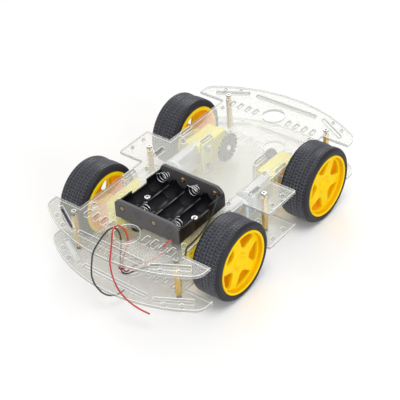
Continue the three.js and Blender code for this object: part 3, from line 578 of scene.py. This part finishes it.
def quarter_outline():
    """The deck's outline from the nose to the side of the wing."""
    centre_x = HALF_LENGTH - DECK_ARC
    end = math.degrees(math.asin(TIP_ARC_Y / DECK_ARC))
    points = arc(centre_x, 0, DECK_ARC, 0, end, 24)
    last = Vector(points[-1])
    corner = Vector((last.x - 4 * MM, TIP_HALF_WIDTH))
    straight = Vector((TIP_STRAIGHT_X, TIP_HALF_WIDTH))
    for i in range(1, 9):
        t = i / 8
        point = last * (1 - t) ** 2 + corner * 2 * t * (1 - t) + straight * t * t
        points.append((point.x, point.y))
    points += [(NOTCH_X, TIP_HALF_WIDTH), (NOTCH_X, WAIST_Y), (WING_X, WAIST_Y)]
    points += arc(WING_X - WING_CORNER, WING_Y - WING_CORNER, WING_CORNER, 0, 90, 4)
    return points


def deck_outline():
    quarter = quarter_outline()
    back = quarter[::-1]
    outline = list(quarter)
    outline += [(-x, y) for x, y in back]
    outline += [(-x, -y) for x, y in quarter[1:]]
    outline += [(x, -y) for x, y in back[:-1]]
    return outline


def end_holes(side):
    """The wire hole, long slots, short slots and bracket slots of one end."""
    holes = [circle(side * WIRE_HOLE_X, 0, WIRE_HOLE_RADIUS, 48)]
    holes.append(slot_outline(side * LONG_SLOT_X, 0, LONG_SLOT_WIDTH, LONG_SLOT_LENGTH))
    for hand in (1, -1):
        run = Vector((side * SLANT_RUN[0], hand * SLANT_RUN[1]))
        middle = Vector((side * SLANT_MIDDLE[0], hand * SLANT_MIDDLE[1]))
        angle = math.atan2(run.y, run.x)
        holes.append(slot_outline(*middle, run.length, LONG_SLOT_WIDTH, angle))
        for y in SHORT_SLOT_YS:
            holes.append(slot_outline(side * SHORT_SLOT_X, hand * y * MM, *SHORT_SLOT))
        for y in BRACKET_SLOT_YS:
            holes.append(slot_outline(side * BRACKET_SLOT_X, hand * y, *BRACKET_SLOT, 0,
                                      BRACKET_SLOT_CORNER))
        for x, y in SMALL_HOLES:
            holes.append(circle(side * x * MM, hand * y * MM, SCREW_HOLE, 14))
    return holes


def make_deck(name, node):
    holes = end_holes(1) + end_holes(-1)
    for hand in (1, -1):
        holes.append(slot_outline(0, hand * MIDDLE_SLOT_Y, *BRACKET_SLOT, 0, BRACKET_SLOT_CORNER))
    mesh = plate(name, deck_outline(), holes, DECK_THICK, ACRYLIC, DECK_BEVEL)
    place = Matrix.Translation((0, 0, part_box(node)[0].z))
    let_light_through(link(name, mesh, "chassis", place, [node]))


make_deck("upper_deck_sheet", "top_deck")
make_deck("lower_deck_sheet", "bottom_deck")

# ---- Standoffs, screws and nuts ---------------------------------------------------------------

# Heads as (radius, height), and the nut as (width across flats, height, bore radius).
DECK_SCREW = (2.3 * MM, 1.4 * MM)
BOLT_HEAD = (2.8 * MM, 1.9 * MM)
CASE_SCREW = (1.5 * MM, 0.9 * MM)
HOLDER_SCREW = (2.7 * MM, 1.9 * MM)
M3_NUT = (5.5 * MM, 2.3 * MM, 1.5 * MM)
NUT_HEIGHT = M3_NUT[1]
BOLT_RADIUS = 1.45 * MM
CROSS_HALF_WIDTH = 0.32 * MM
STANDOFF_BEVEL = 0.25 * MM


def cross_outline(reach, half):
    """A cross-shaped recess."""
    quarter = [(reach, -half), (reach, half), (half, half)]
    points = []
    for i in range(4):
        turn = Matrix.Rotation(i * math.pi / 2, 2)
        points += [tuple(turn @ Vector(p)) for p in quarter]
    return points


def screw_head(name, radius, height):
    """A pan head on the XY plane, with a cross recess in its top."""
    base = plate(name, circle(0, 0, radius, 28), [], height * 0.5, [SCREW_STEEL], 0.12 * MM)
    top = plate(name, circle(0, 0, radius * 0.97, 28), [cross_outline(radius * 0.5, CROSS_HALF_WIDTH)],
                height * 0.62, [SCREW_STEEL], 0.3 * MM, 2)
    return joined(base, moved(top, Matrix.Translation((0, 0, height * 0.38))))


def nut(name, across_flats, height, bore):
    """A hexagon nut on the XY plane."""
    corners = across_flats / 2 / math.cos(math.pi / 6)
    outline = circle(0, 0, corners, 6)
    return plate(name, outline, [circle(0, 0, bore, 20)], height, [SCREW_STEEL], 0.25 * MM, 2)


def rod(name, radius, from_z, to_z):
    """A plain steel shank along Z."""
    profile = [(0, from_z), (radius, from_z), (radius, to_z), (0, to_z)]
    return lathe(name, profile, [SCREW_STEEL], 20)


def make_deck_screws():
    head = screw_head("deck_screw", *DECK_SCREW)
    for name in STANDOFFS:
        refine(f"standoff_{name}", STANDOFF_BEVEL, BRASS)
        low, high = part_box(f"standoff_{name}")
        centre = (low + high) / 2
        top = Matrix.Translation((centre.x, centre.y, UPPER_DECK[1].z))
        under = Matrix.Translation((centre.x, centre.y, LOWER_DECK[0].z))
        link(f"deck_screw_top_{name}", head, "chassis", top)
        link(f"deck_screw_under_{name}", head, "chassis", under @ Matrix.Rotation(math.pi, 4, "X"))


make_deck_screws()

# ---- One driven corner, drawn for the front left ------------------------------------------------
# Local frame: the axle is the Y axis, y counts from the chassis' middle, the motor is at -X.

CORNER_TURNS = {
    "front_left": Matrix.Identity(4),
    "front_right": Matrix.Rotation(math.pi, 4, "X"),
    "rear_left": Matrix.Rotation(math.pi, 4, "Y"),
    "rear_right": Matrix.Rotation(math.pi, 4, "Z"),
}
WHEEL_TURNS = {"front_left": 9, "front_right": 27, "rear_left": 5.4, "rear_right": 50}


def corner_matrix(corner):
    side = 1 if corner.startswith("front") else -1
    return Matrix.Translation((side * AXLE_X, 0, AXLE_Z)) @ CORNER_TURNS[corner]


LAY_ON_Y = Matrix.Rotation(-math.pi / 2, 4, "X")
TREAD_STEPS = 504
TREAD_COLUMNS = 64
TREAD_PITCH = 2 * math.pi / 72
GROOVE_PITCH = 2.8
GROOVE_SHARE = 0.2  # of the groove pitch, for the grooves that run round the tyre
GROOVE_REACH = 3.6  # grooves that run round stay this many pitches from the middle
GROOVE_WAVE = 0.14
NOTCH_SHARE = 0.22  # of the tread pitch, for the notches across each band
NOTCH_SLANT = 0.5
NOTCH_DEPTH = 0.8
TREAD_DEPTH = 0.75
TREAD_HALF_WIDTH = 10.4
TREAD_RADIUS = 32.5
CROWN_DROP = 0.25
WAIST_DEPTH = 0.7
WAIST_PLACE = 0.38
WAIST_SPREAD = 0.3
GROOVE_WALL_RISE = 0.3 * MM
TYRE_SMOOTH_ANGLE = 28
# From the bead to the tread, as (radius, y, share of tread depth).
TYRE_SIDE = [(25.0, 1.8, 0), (26.55, 1.75, 0), (26.6, 0.7, 0), (27.6, 0.35, 0), (29.4, 0.3, 0),
             (30.4, 0.55, 0), (31.2, 1.1, 0), (31.8, 1.9, 0), (32.15, 2.7, 0)]


def tyre_profile():
    """(radius, y, share of tread depth) round the tyre's section, y from the wheel's inner face."""
    middle = WHEEL_WIDTH / MM / 2
    tread = []
    for i in range(TREAD_COLUMNS + 1):
        t = 2 * i / TREAD_COLUMNS - 1
        waist = WAIST_DEPTH * math.exp(-(((t - WAIST_PLACE) / WAIST_SPREAD) ** 2))
        radius = TREAD_RADIUS - CROWN_DROP * t**4 - waist
        tread.append((radius, middle + t * TREAD_HALF_WIDTH, 1))
    outer = [(r, 2 * middle - y, d) for r, y, d in reversed(TYRE_SIDE)]
    return TYRE_SIDE + tread + outer


def tread_depth(angle, y):
    """How deep the tread's grooves are at a place, from 0 to 1."""
    across = (y - WHEEL_WIDTH / MM / 2) / GROOVE_PITCH
    wave = GROOVE_WAVE * math.sin(2 * math.pi * angle / TREAD_PITCH)
    band = math.floor(across + wave)
    inside = across + wave - band
    if inside < GROOVE_SHARE and abs(across) < GROOVE_REACH:
        return 1.0
    slant = (NOTCH_SLANT if band % 2 else -NOTCH_SLANT) * inside
    phase = (angle / TREAD_PITCH + slant + 0.5 * (band % 2)) % 1
    return NOTCH_DEPTH if phase < NOTCH_SHARE else 0.0


def tyre_mesh():
    """The tyre, whose groove walls take the paler material, a painted highlight along the tread
    pattern.
    """
    profile = tyre_profile()
    bm = bmesh.new()
    rings = []
    for i in range(TREAD_STEPS):
        angle = 2 * math.pi * i / TREAD_STEPS
        ring = []
        for radius, y, share in profile:
            r = (radius - TREAD_DEPTH * share * tread_depth(angle, y)) * MM
            place = (r * math.sin(angle), y * MM + WHEEL_INNER_Y, r * math.cos(angle))
            ring.append(bm.verts.new(place))
        rings.append(ring)
    count = len(profile)
    for i in range(TREAD_STEPS):
        here = rings[i]
        following = rings[(i + 1) % TREAD_STEPS]
        for k in range(count):
            other = (k + 1) % count
            face = bm.faces.new((here[k], here[other], following[other], following[k]))
            lengths = [Vector((v.co.x, v.co.z)).length for v in face.verts]
            # Groove walls take the painted highlight material.
            wall = profile[k][2] and max(lengths) - min(lengths) > GROOVE_WALL_RISE
            face.material_index = 2 if wall else 1 if profile[k][2] else 0
    return finished_mesh("tyre", bm, [RUBBER, TREAD, GROOVE_HIGHLIGHT], TYRE_SMOOTH_ANGLE)


SPOKES = 5
HALF_SPOKE = 3.9 * MM
WINDOW_INNER = 11.4 * MM
WINDOW_OUTER = 22.6 * MM
WINDOW_ROUNDING = 2.6 * MM
# The window's corners, as (radius, share of the half angle between two spokes).
WINDOW_CORNERS = [(WINDOW_INNER, -0.62), (WINDOW_INNER, 0.62), (WINDOW_OUTER, 1),
                  (WINDOW_OUTER, 0.35), (WINDOW_OUTER, -0.35), (WINDOW_OUTER, -1)]
STAR_RADIUS = 23.7 * MM
STAR_RECESS = 3.7 * MM
STAR_THICK = 3.4 * MM
HUB_LOW_Y = 51.4 * MM


def window_outline(index):
    """One of the openings between the spokes, as drawn before the rim is turned spoke up."""
    middle = math.pi / 2 + 2 * math.pi * (index + 0.5) / SPOKES
    corners = []
    for radius, hand in WINDOW_CORNERS:
        half = math.pi / SPOKES - math.asin(HALF_SPOKE / radius)
        turn = middle + half * hand
        corners.append((radius * math.cos(turn), radius * math.sin(turn)))
    return rounded(corners, WINDOW_ROUNDING, 5)


def barrel_mesh():
    """The rim's barrel, its deep inside in a painted orange glow and a painted shade."""
    width = WHEEL_WIDTH
    barrel = lathe("rim_barrel", [
        (23.3 * MM, 0.0), (25.9 * MM, 0.0), (26.3 * MM, 0.4 * MM), (26.3 * MM, 1.2 * MM),
        (24.7 * MM, 1.5 * MM), (24.7 * MM, width - 1.5 * MM), (26.3 * MM, width - 1.3 * MM),
        (26.35 * MM, width - 0.5 * MM), (25.9 * MM, width), (24.9 * MM, width),
        (24.3 * MM, width - 0.5 * MM), (23.7 * MM, width - 3.4 * MM),
        (23.2 * MM, width - 6.2 * MM), (23.2 * MM, 0.4 * MM),
    ], [RIM_YELLOW, RIM_GLOW_ORANGE, RIM_SHADED_WALL], 96)
    for face in barrel.polygons:
        from_axle = Vector((face.center.x, face.center.y)).length
        # Faces deep inside the barrel take the painted glow, and the cone between the star and the
        # flange takes the painted shade.
        inside = from_axle < 24.05 * MM and abs(face.normal.z) < 0.6
        face.material_index = 0 if not inside else 1 if from_axle < 23.6 * MM else 2
    return barrel


def hub_mesh(star_top):
    """The hub behind the star, with its raised ring in front."""
    hub_low = HUB_LOW_Y - WHEEL_INNER_Y
    return lathe("rim_hub", [
        (2.95 * MM, hub_low), (5.9 * MM, hub_low), (6.2 * MM, hub_low + 0.4 * MM),
        (7.4 * MM, star_top - 0.6 * MM), (7.2 * MM, star_top + 0.3 * MM),
        (6.4 * MM, star_top + 1.1 * MM), (5.4 * MM, star_top + 1.1 * MM),
        (4.9 * MM, star_top + 0.4 * MM), (4.4 * MM, star_top - 0.3 * MM),
        (0, star_top - 0.5 * MM), (0, hub_low + 6.2 * MM),
        (2.95 * MM, hub_low + 6.2 * MM),
    ], [RIM_YELLOW], 40)


def rim_mesh():
    """The whole rim round the Y axis, with one spoke up."""
    barrel = barrel_mesh()
    star_top = WHEEL_WIDTH - STAR_RECESS
    windows = [window_outline(i) for i in range(SPOKES)]
    star = plate("rim_star", circle(0, 0, STAR_RADIUS, 96), windows, STAR_THICK, [RIM_YELLOW],
                 0.7 * MM, 3, puffed=True)
    hub = hub_mesh(star_top)
    moved(star, Matrix.Translation((0, 0, star_top - STAR_THICK)))
    whole = joined(barrel, star, hub)
    spoke_up = Matrix.Rotation(math.pi, 4, "Y")
    return moved(whole, Matrix.Translation((0, WHEEL_INNER_Y, 0)) @ spoke_up @ LAY_ON_Y)


ENCODER_BEVEL = 0.15 * MM


def make_wheels():
    tyre = tyre_mesh()
    rim = rim_mesh()
    for corner in CORNERS:
        body = f"wheel_{corner}"
        place = corner_matrix(corner)
        turn = Matrix.Rotation(math.radians(WHEEL_TURNS[corner]), 4, "Y")
        turned_rim = moved(rim.copy(), turn)
        link(f"treaded_tyre_{corner}", tyre, body, place, [f"tyre_{corner}"])
        link(f"spoked_rim_{corner}", turned_rim, body, place, [f"wheel_rim_{corner}"])
        refine(f"output_shaft_{corner}", 0, NYLON_WHITE)
        refine(f"encoder_disc_{corner}", ENCODER_BEVEL, ENCODER_BLACK)
        refine(f"middle_gear_{corner}", 0, NYLON_WHITE)
        refine(f"crown_gear_{corner}", 0, NYLON_WHITE)
        refine(f"motor_pinion_{corner}", 0, BRASS)


make_wheels()

BOLT_X = -20.5 * MM
BOLT_Z = 8.75 * MM
BOLT_OVERHANG = 2.6 * MM
TAB_HALF_WIDTH = 6 * MM
DECK_GAP = 0.3 * MM
CASE_BEVEL = 0.35 * MM
CAN_BEVEL = 0.4 * MM
CASE_SCREWS = [(8.2, 8.0), (8.2, -8.0), (-9.0, 9.2), (-9.0, -9.2)]
PEG_X = -9.6 * MM


def bracket_outline(box):
    """The bracket's outline in x and z from the axle, with a tab at each end."""
    low = LOWER_DECK[1].z - AXLE_Z + DECK_GAP
    high = UPPER_DECK[0].z - AXLE_Z - DECK_GAP
    bottom = box[0].z - AXLE_Z
    top = box[1].z - AXLE_Z
    half = (box[1].x - box[0].x) / 2
    tab = TAB_HALF_WIDTH
    x = (box[0].x + box[1].x) / 2 - AXLE_X
    return [(x - tab, bottom), (x + tab, bottom), (x + tab, low), (x + half, low),
            (x + half, high), (x + tab, high), (x + tab, top), (x - tab, top),
            (x - tab, high), (x - half, high), (x - half, low), (x - tab, low)]


def plate_on_xz(name, outline, holes, from_y, thick, materials, bevel=0.2 * MM):
    """A plate drawn in x and z, standing from one y outwards."""
    mesh = plate(name, outline, holes, thick, materials, bevel)
    stand = Matrix(((1, 0, 0, 0), (0, 0, -1, thick + from_y), (0, 1, 0, 0), (0, 0, 0, 1)))
    return moved(mesh, stand)


def make_brackets():
    for kind, box in (("outer", BRACKET_OUT), ("inner", BRACKET_IN)):
        outline = bracket_outline(box)
        holes = [circle(BOLT_X, z, SCREW_HOLE, 20) for z in (BOLT_Z, -BOLT_Z)]
        thick = box[1].y - box[0].y
        for corner in CORNERS:
            name = f"bracket_{kind}_plate_{corner}"
            flip = -1 if corner in ("front_right", "rear_left") else 1
            turned = [(x, flip * z) for x, z in outline]
            mesh = plate_on_xz(name, turned[::flip], holes, box[0].y, thick, ACRYLIC)
            piece = link(name, mesh, "chassis", corner_matrix(corner),
                         [f"bracket_{kind}_{corner}"])
            let_light_through(piece)


def bolts_mesh():
    """Two long screws with their nuts, through both brackets and the gearbox."""
    head_y = BRACKET_OUT[1].y
    nut_y = BRACKET_IN[0].y
    parts = []
    for z in (BOLT_Z, -BOLT_Z):
        shank = rod("bolt_shank", BOLT_RADIUS, nut_y - BOLT_OVERHANG, head_y)
        head = screw_head("bolt_head", *BOLT_HEAD)
        moved(head, Matrix.Translation((0, 0, head_y)))
        lock = nut("bolt_nut", *M3_NUT)
        moved(lock, Matrix.Translation((0, 0, nut_y - NUT_HEIGHT)))
        for part in (shank, head, lock):
            moved(part, LAY_ON_Y)
            parts.append(moved(part, Matrix.Translation((BOLT_X, 0, z))))
    return joined(*parts)


def case_details_mesh():
    """Raised collars round the shaft on both faces, and a locating peg."""
    outer = CASE[1].y
    inner = COVER[0].y
    collar = lathe("collar", [(3.4 * MM, 0), (5.4 * MM, 0), (5.4 * MM, 0.9 * MM),
                              (5.1 * MM, 1.2 * MM), (3.7 * MM, 1.2 * MM), (3.4 * MM, 0.9 * MM)],
                   [CASE_YELLOW], 36)
    parts = [moved(collar, Matrix.Translation((0, outer, 0)) @ LAY_ON_Y)]
    second = lathe("collar", [(3.4 * MM, 0), (5.0 * MM, 0), (5.0 * MM, -0.8 * MM),
                              (4.7 * MM, -1.0 * MM), (3.4 * MM, -1.0 * MM)], [CASE_YELLOW], 36)
    parts.append(moved(second, Matrix.Translation((0, inner, 0)) @ LAY_ON_Y))
    peg = lathe("peg", [(0, 0), (1.8 * MM, 0), (1.8 * MM, 1.3 * MM), (1.5 * MM, 1.6 * MM),
                        (0, 1.6 * MM)], [CASE_YELLOW], 24)
    parts.append(moved(peg, Matrix.Translation((PEG_X, outer, 0)) @ LAY_ON_Y))
    return joined(*parts)


def case_screws_mesh():
    """The small screws that hold the two halves of the gearbox together."""
    parts = []
    for x, z in CASE_SCREWS:
        head = screw_head("case_screw", *CASE_SCREW)
        place = Matrix.Translation((x * MM, COVER[0].y, z * MM))
        parts.append(moved(head, place @ Matrix.Rotation(math.pi / 2, 4, "X")))
    return joined(*parts)


CAN_BACK = CAN[0].x - AXLE_X
CAP_RADIUS = 10.15 * MM
CAP_HALF_FLAT = 7.72 * MM
CAP_HEIGHT = 3.4 * MM
BOSS_HEIGHT = 0.9 * MM
CAP_GAP = 0.15 * MM
TERMINAL_Z = 3.4 * MM
TERMINAL_X = 1.6 * MM
TERMINAL_ROOT = 7.4 * MM
STRAP_THICK = 0.7 * MM
STRAP_WIDTH = 7 * MM
# The strap's outer edge above its middle, as (x, z).
STRAP_HALF = [(-20.0, 11.5), (-26.0, 11.35), (-27.5, 10.6), (-51.5, 10.35), (-54.3, 8.4),
              (-55.1, 6.0)]


def flat_sided(radius, half_flat, steps=10):
    """A circle cut by two flats, in y and z, as points (y, z)."""
    reach = math.degrees(math.acos(half_flat / radius))
    top = arc(0, 0, radius, reach, 180 - reach, steps)
    return top + [(-y, -z) for y, z in top]


def end_cap_mesh():
    """The plastic cap at the back of a motor, with its bearing boss."""
    outline = flat_sided(CAP_RADIUS, CAP_HALF_FLAT)
    cap = plate("end_cap", outline, [], CAP_HEIGHT, [CAP_PALE], 0.4 * MM, 2)
    boss = lathe("cap_boss", [(0, 0), (2.6 * MM, 0), (2.6 * MM, 0.7 * MM), (2.2 * MM, BOSS_HEIGHT),
                              (0, BOSS_HEIGHT)], [CAP_PALE], 24)
    moved(boss, Matrix.Translation((0, 0, -BOSS_HEIGHT)))
    whole = joined(cap, boss)
    return moved(whole, Matrix.Translation((CAN_BACK - CAP_GAP, MOTOR_Y, 0)) @ LAY_ON_X)


def terminals_mesh():
    """Two copper tabs that stick out of the cap's flat, towards the chassis' middle."""
    parts = []
    for z in (TERMINAL_Z, -TERMINAL_Z):
        outline = rounded([(-1.1 * MM, 0), (1.1 * MM, 0), (1.1 * MM, 3.6 * MM),
                           (-1.1 * MM, 3.6 * MM)], 0.5 * MM, 3)
        tab = plate("terminal", outline, [circle(0, 2.4 * MM, 0.5 * MM, 12)], 0.4 * MM, [COPPER],
                    0.08 * MM)
        turn = Matrix.Rotation(math.pi, 4, "Z") @ Matrix.Rotation(math.pi / 2, 4, "Y")
        place = Matrix.Translation((CAN_BACK + TERMINAL_X, MOTOR_Y - TERMINAL_ROOT, z))
        parts.append(moved(tab, place @ turn))
    return joined(*parts)


def strap_mesh():
    """The clear strap that clips to the gearbox and runs round the back of the motor."""
    outer = [(x * MM, z * MM) for x, z in STRAP_HALF]
    outer += [(x, -z) for x, z in reversed(outer)]
    inner = []
    for x, z in outer:
        toward = Vector((-40 * MM - x, -z))
        step = Vector((toward.x * 0.4, toward.y)).normalized() * STRAP_THICK
        inner.append((x + step.x, z + step.y))
    outline = outer + inner[::-1]
    return plate_on_xz("strap", outline, [], MOTOR_Y - STRAP_WIDTH / 2, STRAP_WIDTH,
                       [STRAP_CLEAR], 0.1 * MM)


def make_drives():
    make_brackets()
    shared = {
        "bracket_bolts": (bolts_mesh(), None),
        "gearbox_collars": (case_details_mesh(), "gearbox"),
        "gearbox_screws": (case_screws_mesh(), None),
        "motor_end_cap": (end_cap_mesh(), None),
        "motor_terminals": (terminals_mesh(), None),
        "motor_strap": (strap_mesh(), None),
    }
    for corner in CORNERS:
        refine(f"gearbox_case_{corner}", CASE_BEVEL, CASE_YELLOW)
        refine(f"gearbox_cover_{corner}", CASE_BEVEL, CASE_YELLOW)
        refine(f"motor_can_{corner}", CAN_BEVEL, CAN_STEEL)
        for name, (mesh, slot) in shared.items():
            link(f"{name}_{corner}", mesh, "chassis", corner_matrix(corner))


make_drives()

# ---- Battery holder ---------------------------------------------------------------------------

HOLDER_X = (HOLDER[0].x + HOLDER[1].x) / 2
HOLDER_Y = (HOLDER[0].y + HOLDER[1].y) / 2
HOLDER_Z = HOLDER[0].z
HOLDER_LENGTH = HOLDER[1].x - HOLDER[0].x
HOLDER_WIDTH = HOLDER[1].y - HOLDER[0].y
HOLDER_HEIGHT = HOLDER[1].z - HOLDER[0].z
BAY_PITCH = 15.6 * MM
CELL_RADIUS = 7.3 * MM
CELL_Z = 9 * MM
RIDGE_Z = 7.4 * MM
SIDE_WALL = 12 * MM
END_WALL = 3 * MM
NOTCH_HALF = 9 * MM
NOTCH_Z = 8.6 * MM
LIP_WIDTH = 1.1 * MM
TRAY_INSET = 1 * MM
GUIDE_X = 20.5 * MM
GUIDE_THICK = 1.0 * MM
GUIDE_SINK = 0.4 * MM
FRONT_CORNER = 5.5 * MM
REAR_CORNERS = (8.5 * MM, 5.0 * MM)
CONTACT_Z = 10.2 * MM
RING_SINK = 0.25 * MM
RIVET_SINK = 0.7 * MM
SPRING_STEPS = 18
SPRING_WIRE = 0.28 * MM
SPRING_RADIUS = 2.9
SPRING_FLARE = 1.4
SPRING_START = 0.6
SPRING_REACH = 8.6
SPRING_RISE = 2.0


def bay_y(bay):
    return (bay - 1.5) * BAY_PITCH


def tray_section(wall_height, ridge_height):
    """The tray's section in y and z, with a half-round bed for each cell."""
    half = HOLDER_WIDTH / 2
    edge = math.degrees(math.asin((CELL_Z - ridge_height) / CELL_RADIUS))
    points = [(-half, 0), (half, 0), (half, wall_height), (half - LIP_WIDTH, wall_height)]
    for bay in (3, 2, 1, 0):
        points += arc(bay_y(bay), CELL_Z, CELL_RADIUS, -edge, -180 + edge, 22)
    points += [(-half + LIP_WIDTH, wall_height), (-half, wall_height)]
    return points


def tray_stretch(name, section, from_x, to_x):
    mesh = plate(name, section, [], to_x - from_x, [HOLDER_BLACK], 0.15 * MM)
    return moved(mesh, Matrix.Translation((from_x, 0, 0)) @ LAY_ON_X)


def end_wall(name, from_x, left_corner, right_corner):
    """An end wall in y and z with rounded top corners, in a rough grey that is lighter than the tray:
    painted light on the end wall.
    """
    half = HOLDER_WIDTH / 2
    top = HOLDER_HEIGHT
    outline = [(-half, 0), (half, 0)]
    outline += arc(half - left_corner, top - left_corner, left_corner, 0, 90, 8)
    outline += arc(-half + right_corner, top - right_corner, right_corner, 90, 180, 8)
    mesh = plate(name, outline, [], END_WALL, [WALL_LIT_GREY], 0.45 * MM, 2)
    return moved(mesh, Matrix.Translation((from_x, 0, 0)) @ LAY_ON_X)


def guide_mesh():
    """Low fins on the ridges, near both ends, that guide a cell into its bay."""
    parts = []
    for ridge in (-1, 0, 1):
        for end in (1, -1):
            outline = [(-2.6 * MM, 0), (2.6 * MM, 0), (1.4 * MM, 3.4 * MM), (-1.4 * MM, 3.4 * MM)]
            fin = plate("guide", outline, [], GUIDE_THICK, [HOLDER_BLACK], 0.2 * MM)
            stand = Matrix.Rotation(math.pi / 2, 4, "X")
            place = Matrix.Translation((end * GUIDE_X, ridge * BAY_PITCH + GUIDE_THICK / 2,
                                        RIDGE_Z - GUIDE_SINK))
            parts.append(moved(fin, place @ stand))
    return joined(*parts)


def spring_mesh(direction, tail):
    """A cell's spring: a flaring coil that leans up from the end wall, its last turn free."""
    turns = 3 if direction > 0 else 4
    hand = -1 if tail else 1
    points = []
    count = turns * SPRING_STEPS
    for i in range(count + 1):
        t = i / count
        radius = (SPRING_RADIUS + SPRING_FLARE * t) * MM
        turn = 2 * math.pi * turns * t
        reach = direction * (SPRING_START + SPRING_REACH * t) * MM
        rise = SPRING_RISE * t * MM
        side = hand * radius * math.sin(turn)
        points.append(Vector((reach, side, rise + radius * math.cos(turn))))
    if tail:
        points.append(points[-1] + Vector((0.1, -1.5, 0.1)) * MM)
        points.append(points[-1] + Vector((0.1, -2.0, 0.4)) * MM)
    return wire("spring", points, SPRING_WIRE, SPRING_STEEL, steps=3, rings=6)


def rivet_mesh():
    """A domed rivet with its flange, facing forward."""
    dome = lathe("rivet", [(0, 0), (2.2 * MM, 0), (2.2 * MM, 0.25 * MM), (1.7 * MM, 0.6 * MM),
                           (1.0 * MM, 0.85 * MM), (0.5 * MM, 0.5 * MM), (0, 0.45 * MM)],
                 [BRASS], 28)
    return moved(dome, LAY_ON_X)


def ring_mesh():
    """A glossy black eyelet, moulded round each fixing on the end walls."""
    ring = lathe("ring", [(2.3 * MM, -0.3 * MM), (3.1 * MM, -0.3 * MM), (3.1 * MM, 0.15 * MM),
                          (2.9 * MM, 0.25 * MM), (2.5 * MM, 0.25 * MM), (2.3 * MM, 0.15 * MM)],
                 [HOLDER_BLACK], 32)
    return moved(ring, LAY_ON_X)


def make_tray(base, half):
    """The tray, whose side walls are notched in the middle, and its two end walls."""
    full = tray_section(SIDE_WALL, RIDGE_Z)
    low = tray_section(NOTCH_Z, RIDGE_Z)
    tray = joined(
        tray_stretch("tray", full, -half + TRAY_INSET, -NOTCH_HALF),
        tray_stretch("tray", low, -NOTCH_HALF, NOTCH_HALF),
        tray_stretch("tray", full, NOTCH_HALF, half - TRAY_INSET),
        guide_mesh(),
    )
    link("holder_tray", tray, "chassis", base, ["battery_holder"])
    front = end_wall("holder_front_wall", half - END_WALL, FRONT_CORNER, FRONT_CORNER)
    link("holder_front_wall", front, "chassis", base)
    rear = end_wall("holder_rear_wall", -half, *REAR_CORNERS)
    link("holder_rear_wall", rear, "chassis", base)


def make_contacts(base, half, bay):
    """A bay's spring at one end, its rivet at the other, and its ring in the front wall."""
    front_spring = bay % 2 == 1
    y = bay_y(bay)
    inside_front = half - END_WALL
    spring_end = inside_front if front_spring else -inside_front
    spring = spring_mesh(-1 if front_spring else 1, bay == 2)
    link(f"cell_spring_{bay + 1}", spring, "chassis",
         base @ Matrix.Translation((spring_end, y, CELL_Z)))
    link(f"wall_ring_{bay + 1}", ring_mesh(), "chassis",
         base @ Matrix.Translation((half - RING_SINK, y, CONTACT_Z)))
    rivet_x = -inside_front if front_spring else half - RIVET_SINK
    link(f"contact_rivet_{bay + 1}", rivet_mesh(), "chassis",
         base @ Matrix.Translation((rivet_x, y, CONTACT_Z)))


def make_fixing(base, bay):
    """A screw in the bed of a bay, and its nut under the top deck."""
    head = screw_head("holder_screw", *HOLDER_SCREW)
    link(f"holder_screw_{bay + 1}", head, "chassis",
         base @ Matrix.Translation((0, bay_y(bay), CELL_Z - CELL_RADIUS - 0.1 * MM)))
    lock = nut("holder_nut", *M3_NUT)
    link(f"holder_nut_{bay + 1}", lock, "chassis",
         base @ Matrix.Translation((0, bay_y(bay), -DECK_THICK - NUT_HEIGHT)))


def make_holder():
    base = Matrix.Translation((HOLDER_X, HOLDER_Y, HOLDER_Z))
    half = HOLDER_LENGTH / 2
    make_tray(base, half)
    for bay in range(4):
        make_contacts(base, half, bay)
    for bay in (0, 3):
        make_fixing(base, bay)


make_holder()

# ---- Floor and light ----------------------------------------------------------------------------

FLOOR_HALF = 4
WORLD_STRENGTH = 0.62
LIGHT_AIM = (0, 0, 0.03)
# Each area light as (name, place, diameter, power).
LIGHTS = [
    ("key", (0.2, 0.4, 1.4), 0.8, 8.5),
    ("back", (-0.9, -0.7, 0.8), 0.6, 3.5),
    ("fill", (0.6, 1.3, 0.5), 0.9, 7),
]


def make_floor():
    bm = bmesh.new()
    bmesh.ops.create_grid(bm, x_segments=1, y_segments=1, size=FLOOR_HALF)
    mesh = bpy.data.meshes.new("floor")
    bm.to_mesh(mesh)
    bm.free()
    mesh.materials.append(material("floor_white", (0.93, 0.93, 0.93), 0.9, swing=0.005, bump=0.0,
                                   patch=3))
    floor = bpy.data.objects.new("floor", mesh)
    bpy.context.scene.collection.objects.link(floor)


def area_light(name, place, size, power):
    data = bpy.data.lights.new(name, "AREA")
    data.shape = "DISK"
    data.size = size
    data.energy = power
    light = bpy.data.objects.new(name, data)
    light.location = place
    light.rotation_mode = "QUATERNION"
    light.rotation_quaternion = (Vector(LIGHT_AIM) - light.location).to_track_quat("-Z", "Y")
    bpy.context.scene.collection.objects.link(light)


def make_light():
    world = bpy.data.worlds.new("studio")
    bpy.context.scene.world = world
    world.use_nodes = True
    background = world.node_tree.nodes["Background"]
    background.inputs["Color"].default_value = (1.0, 1.0, 1.0, 1)
    background.inputs["Strength"].default_value = WORLD_STRENGTH
    for light in LIGHTS:
        area_light(*light)


make_floor()
make_light()
bpy.context.scene.view_settings.view_transform = "Standard"
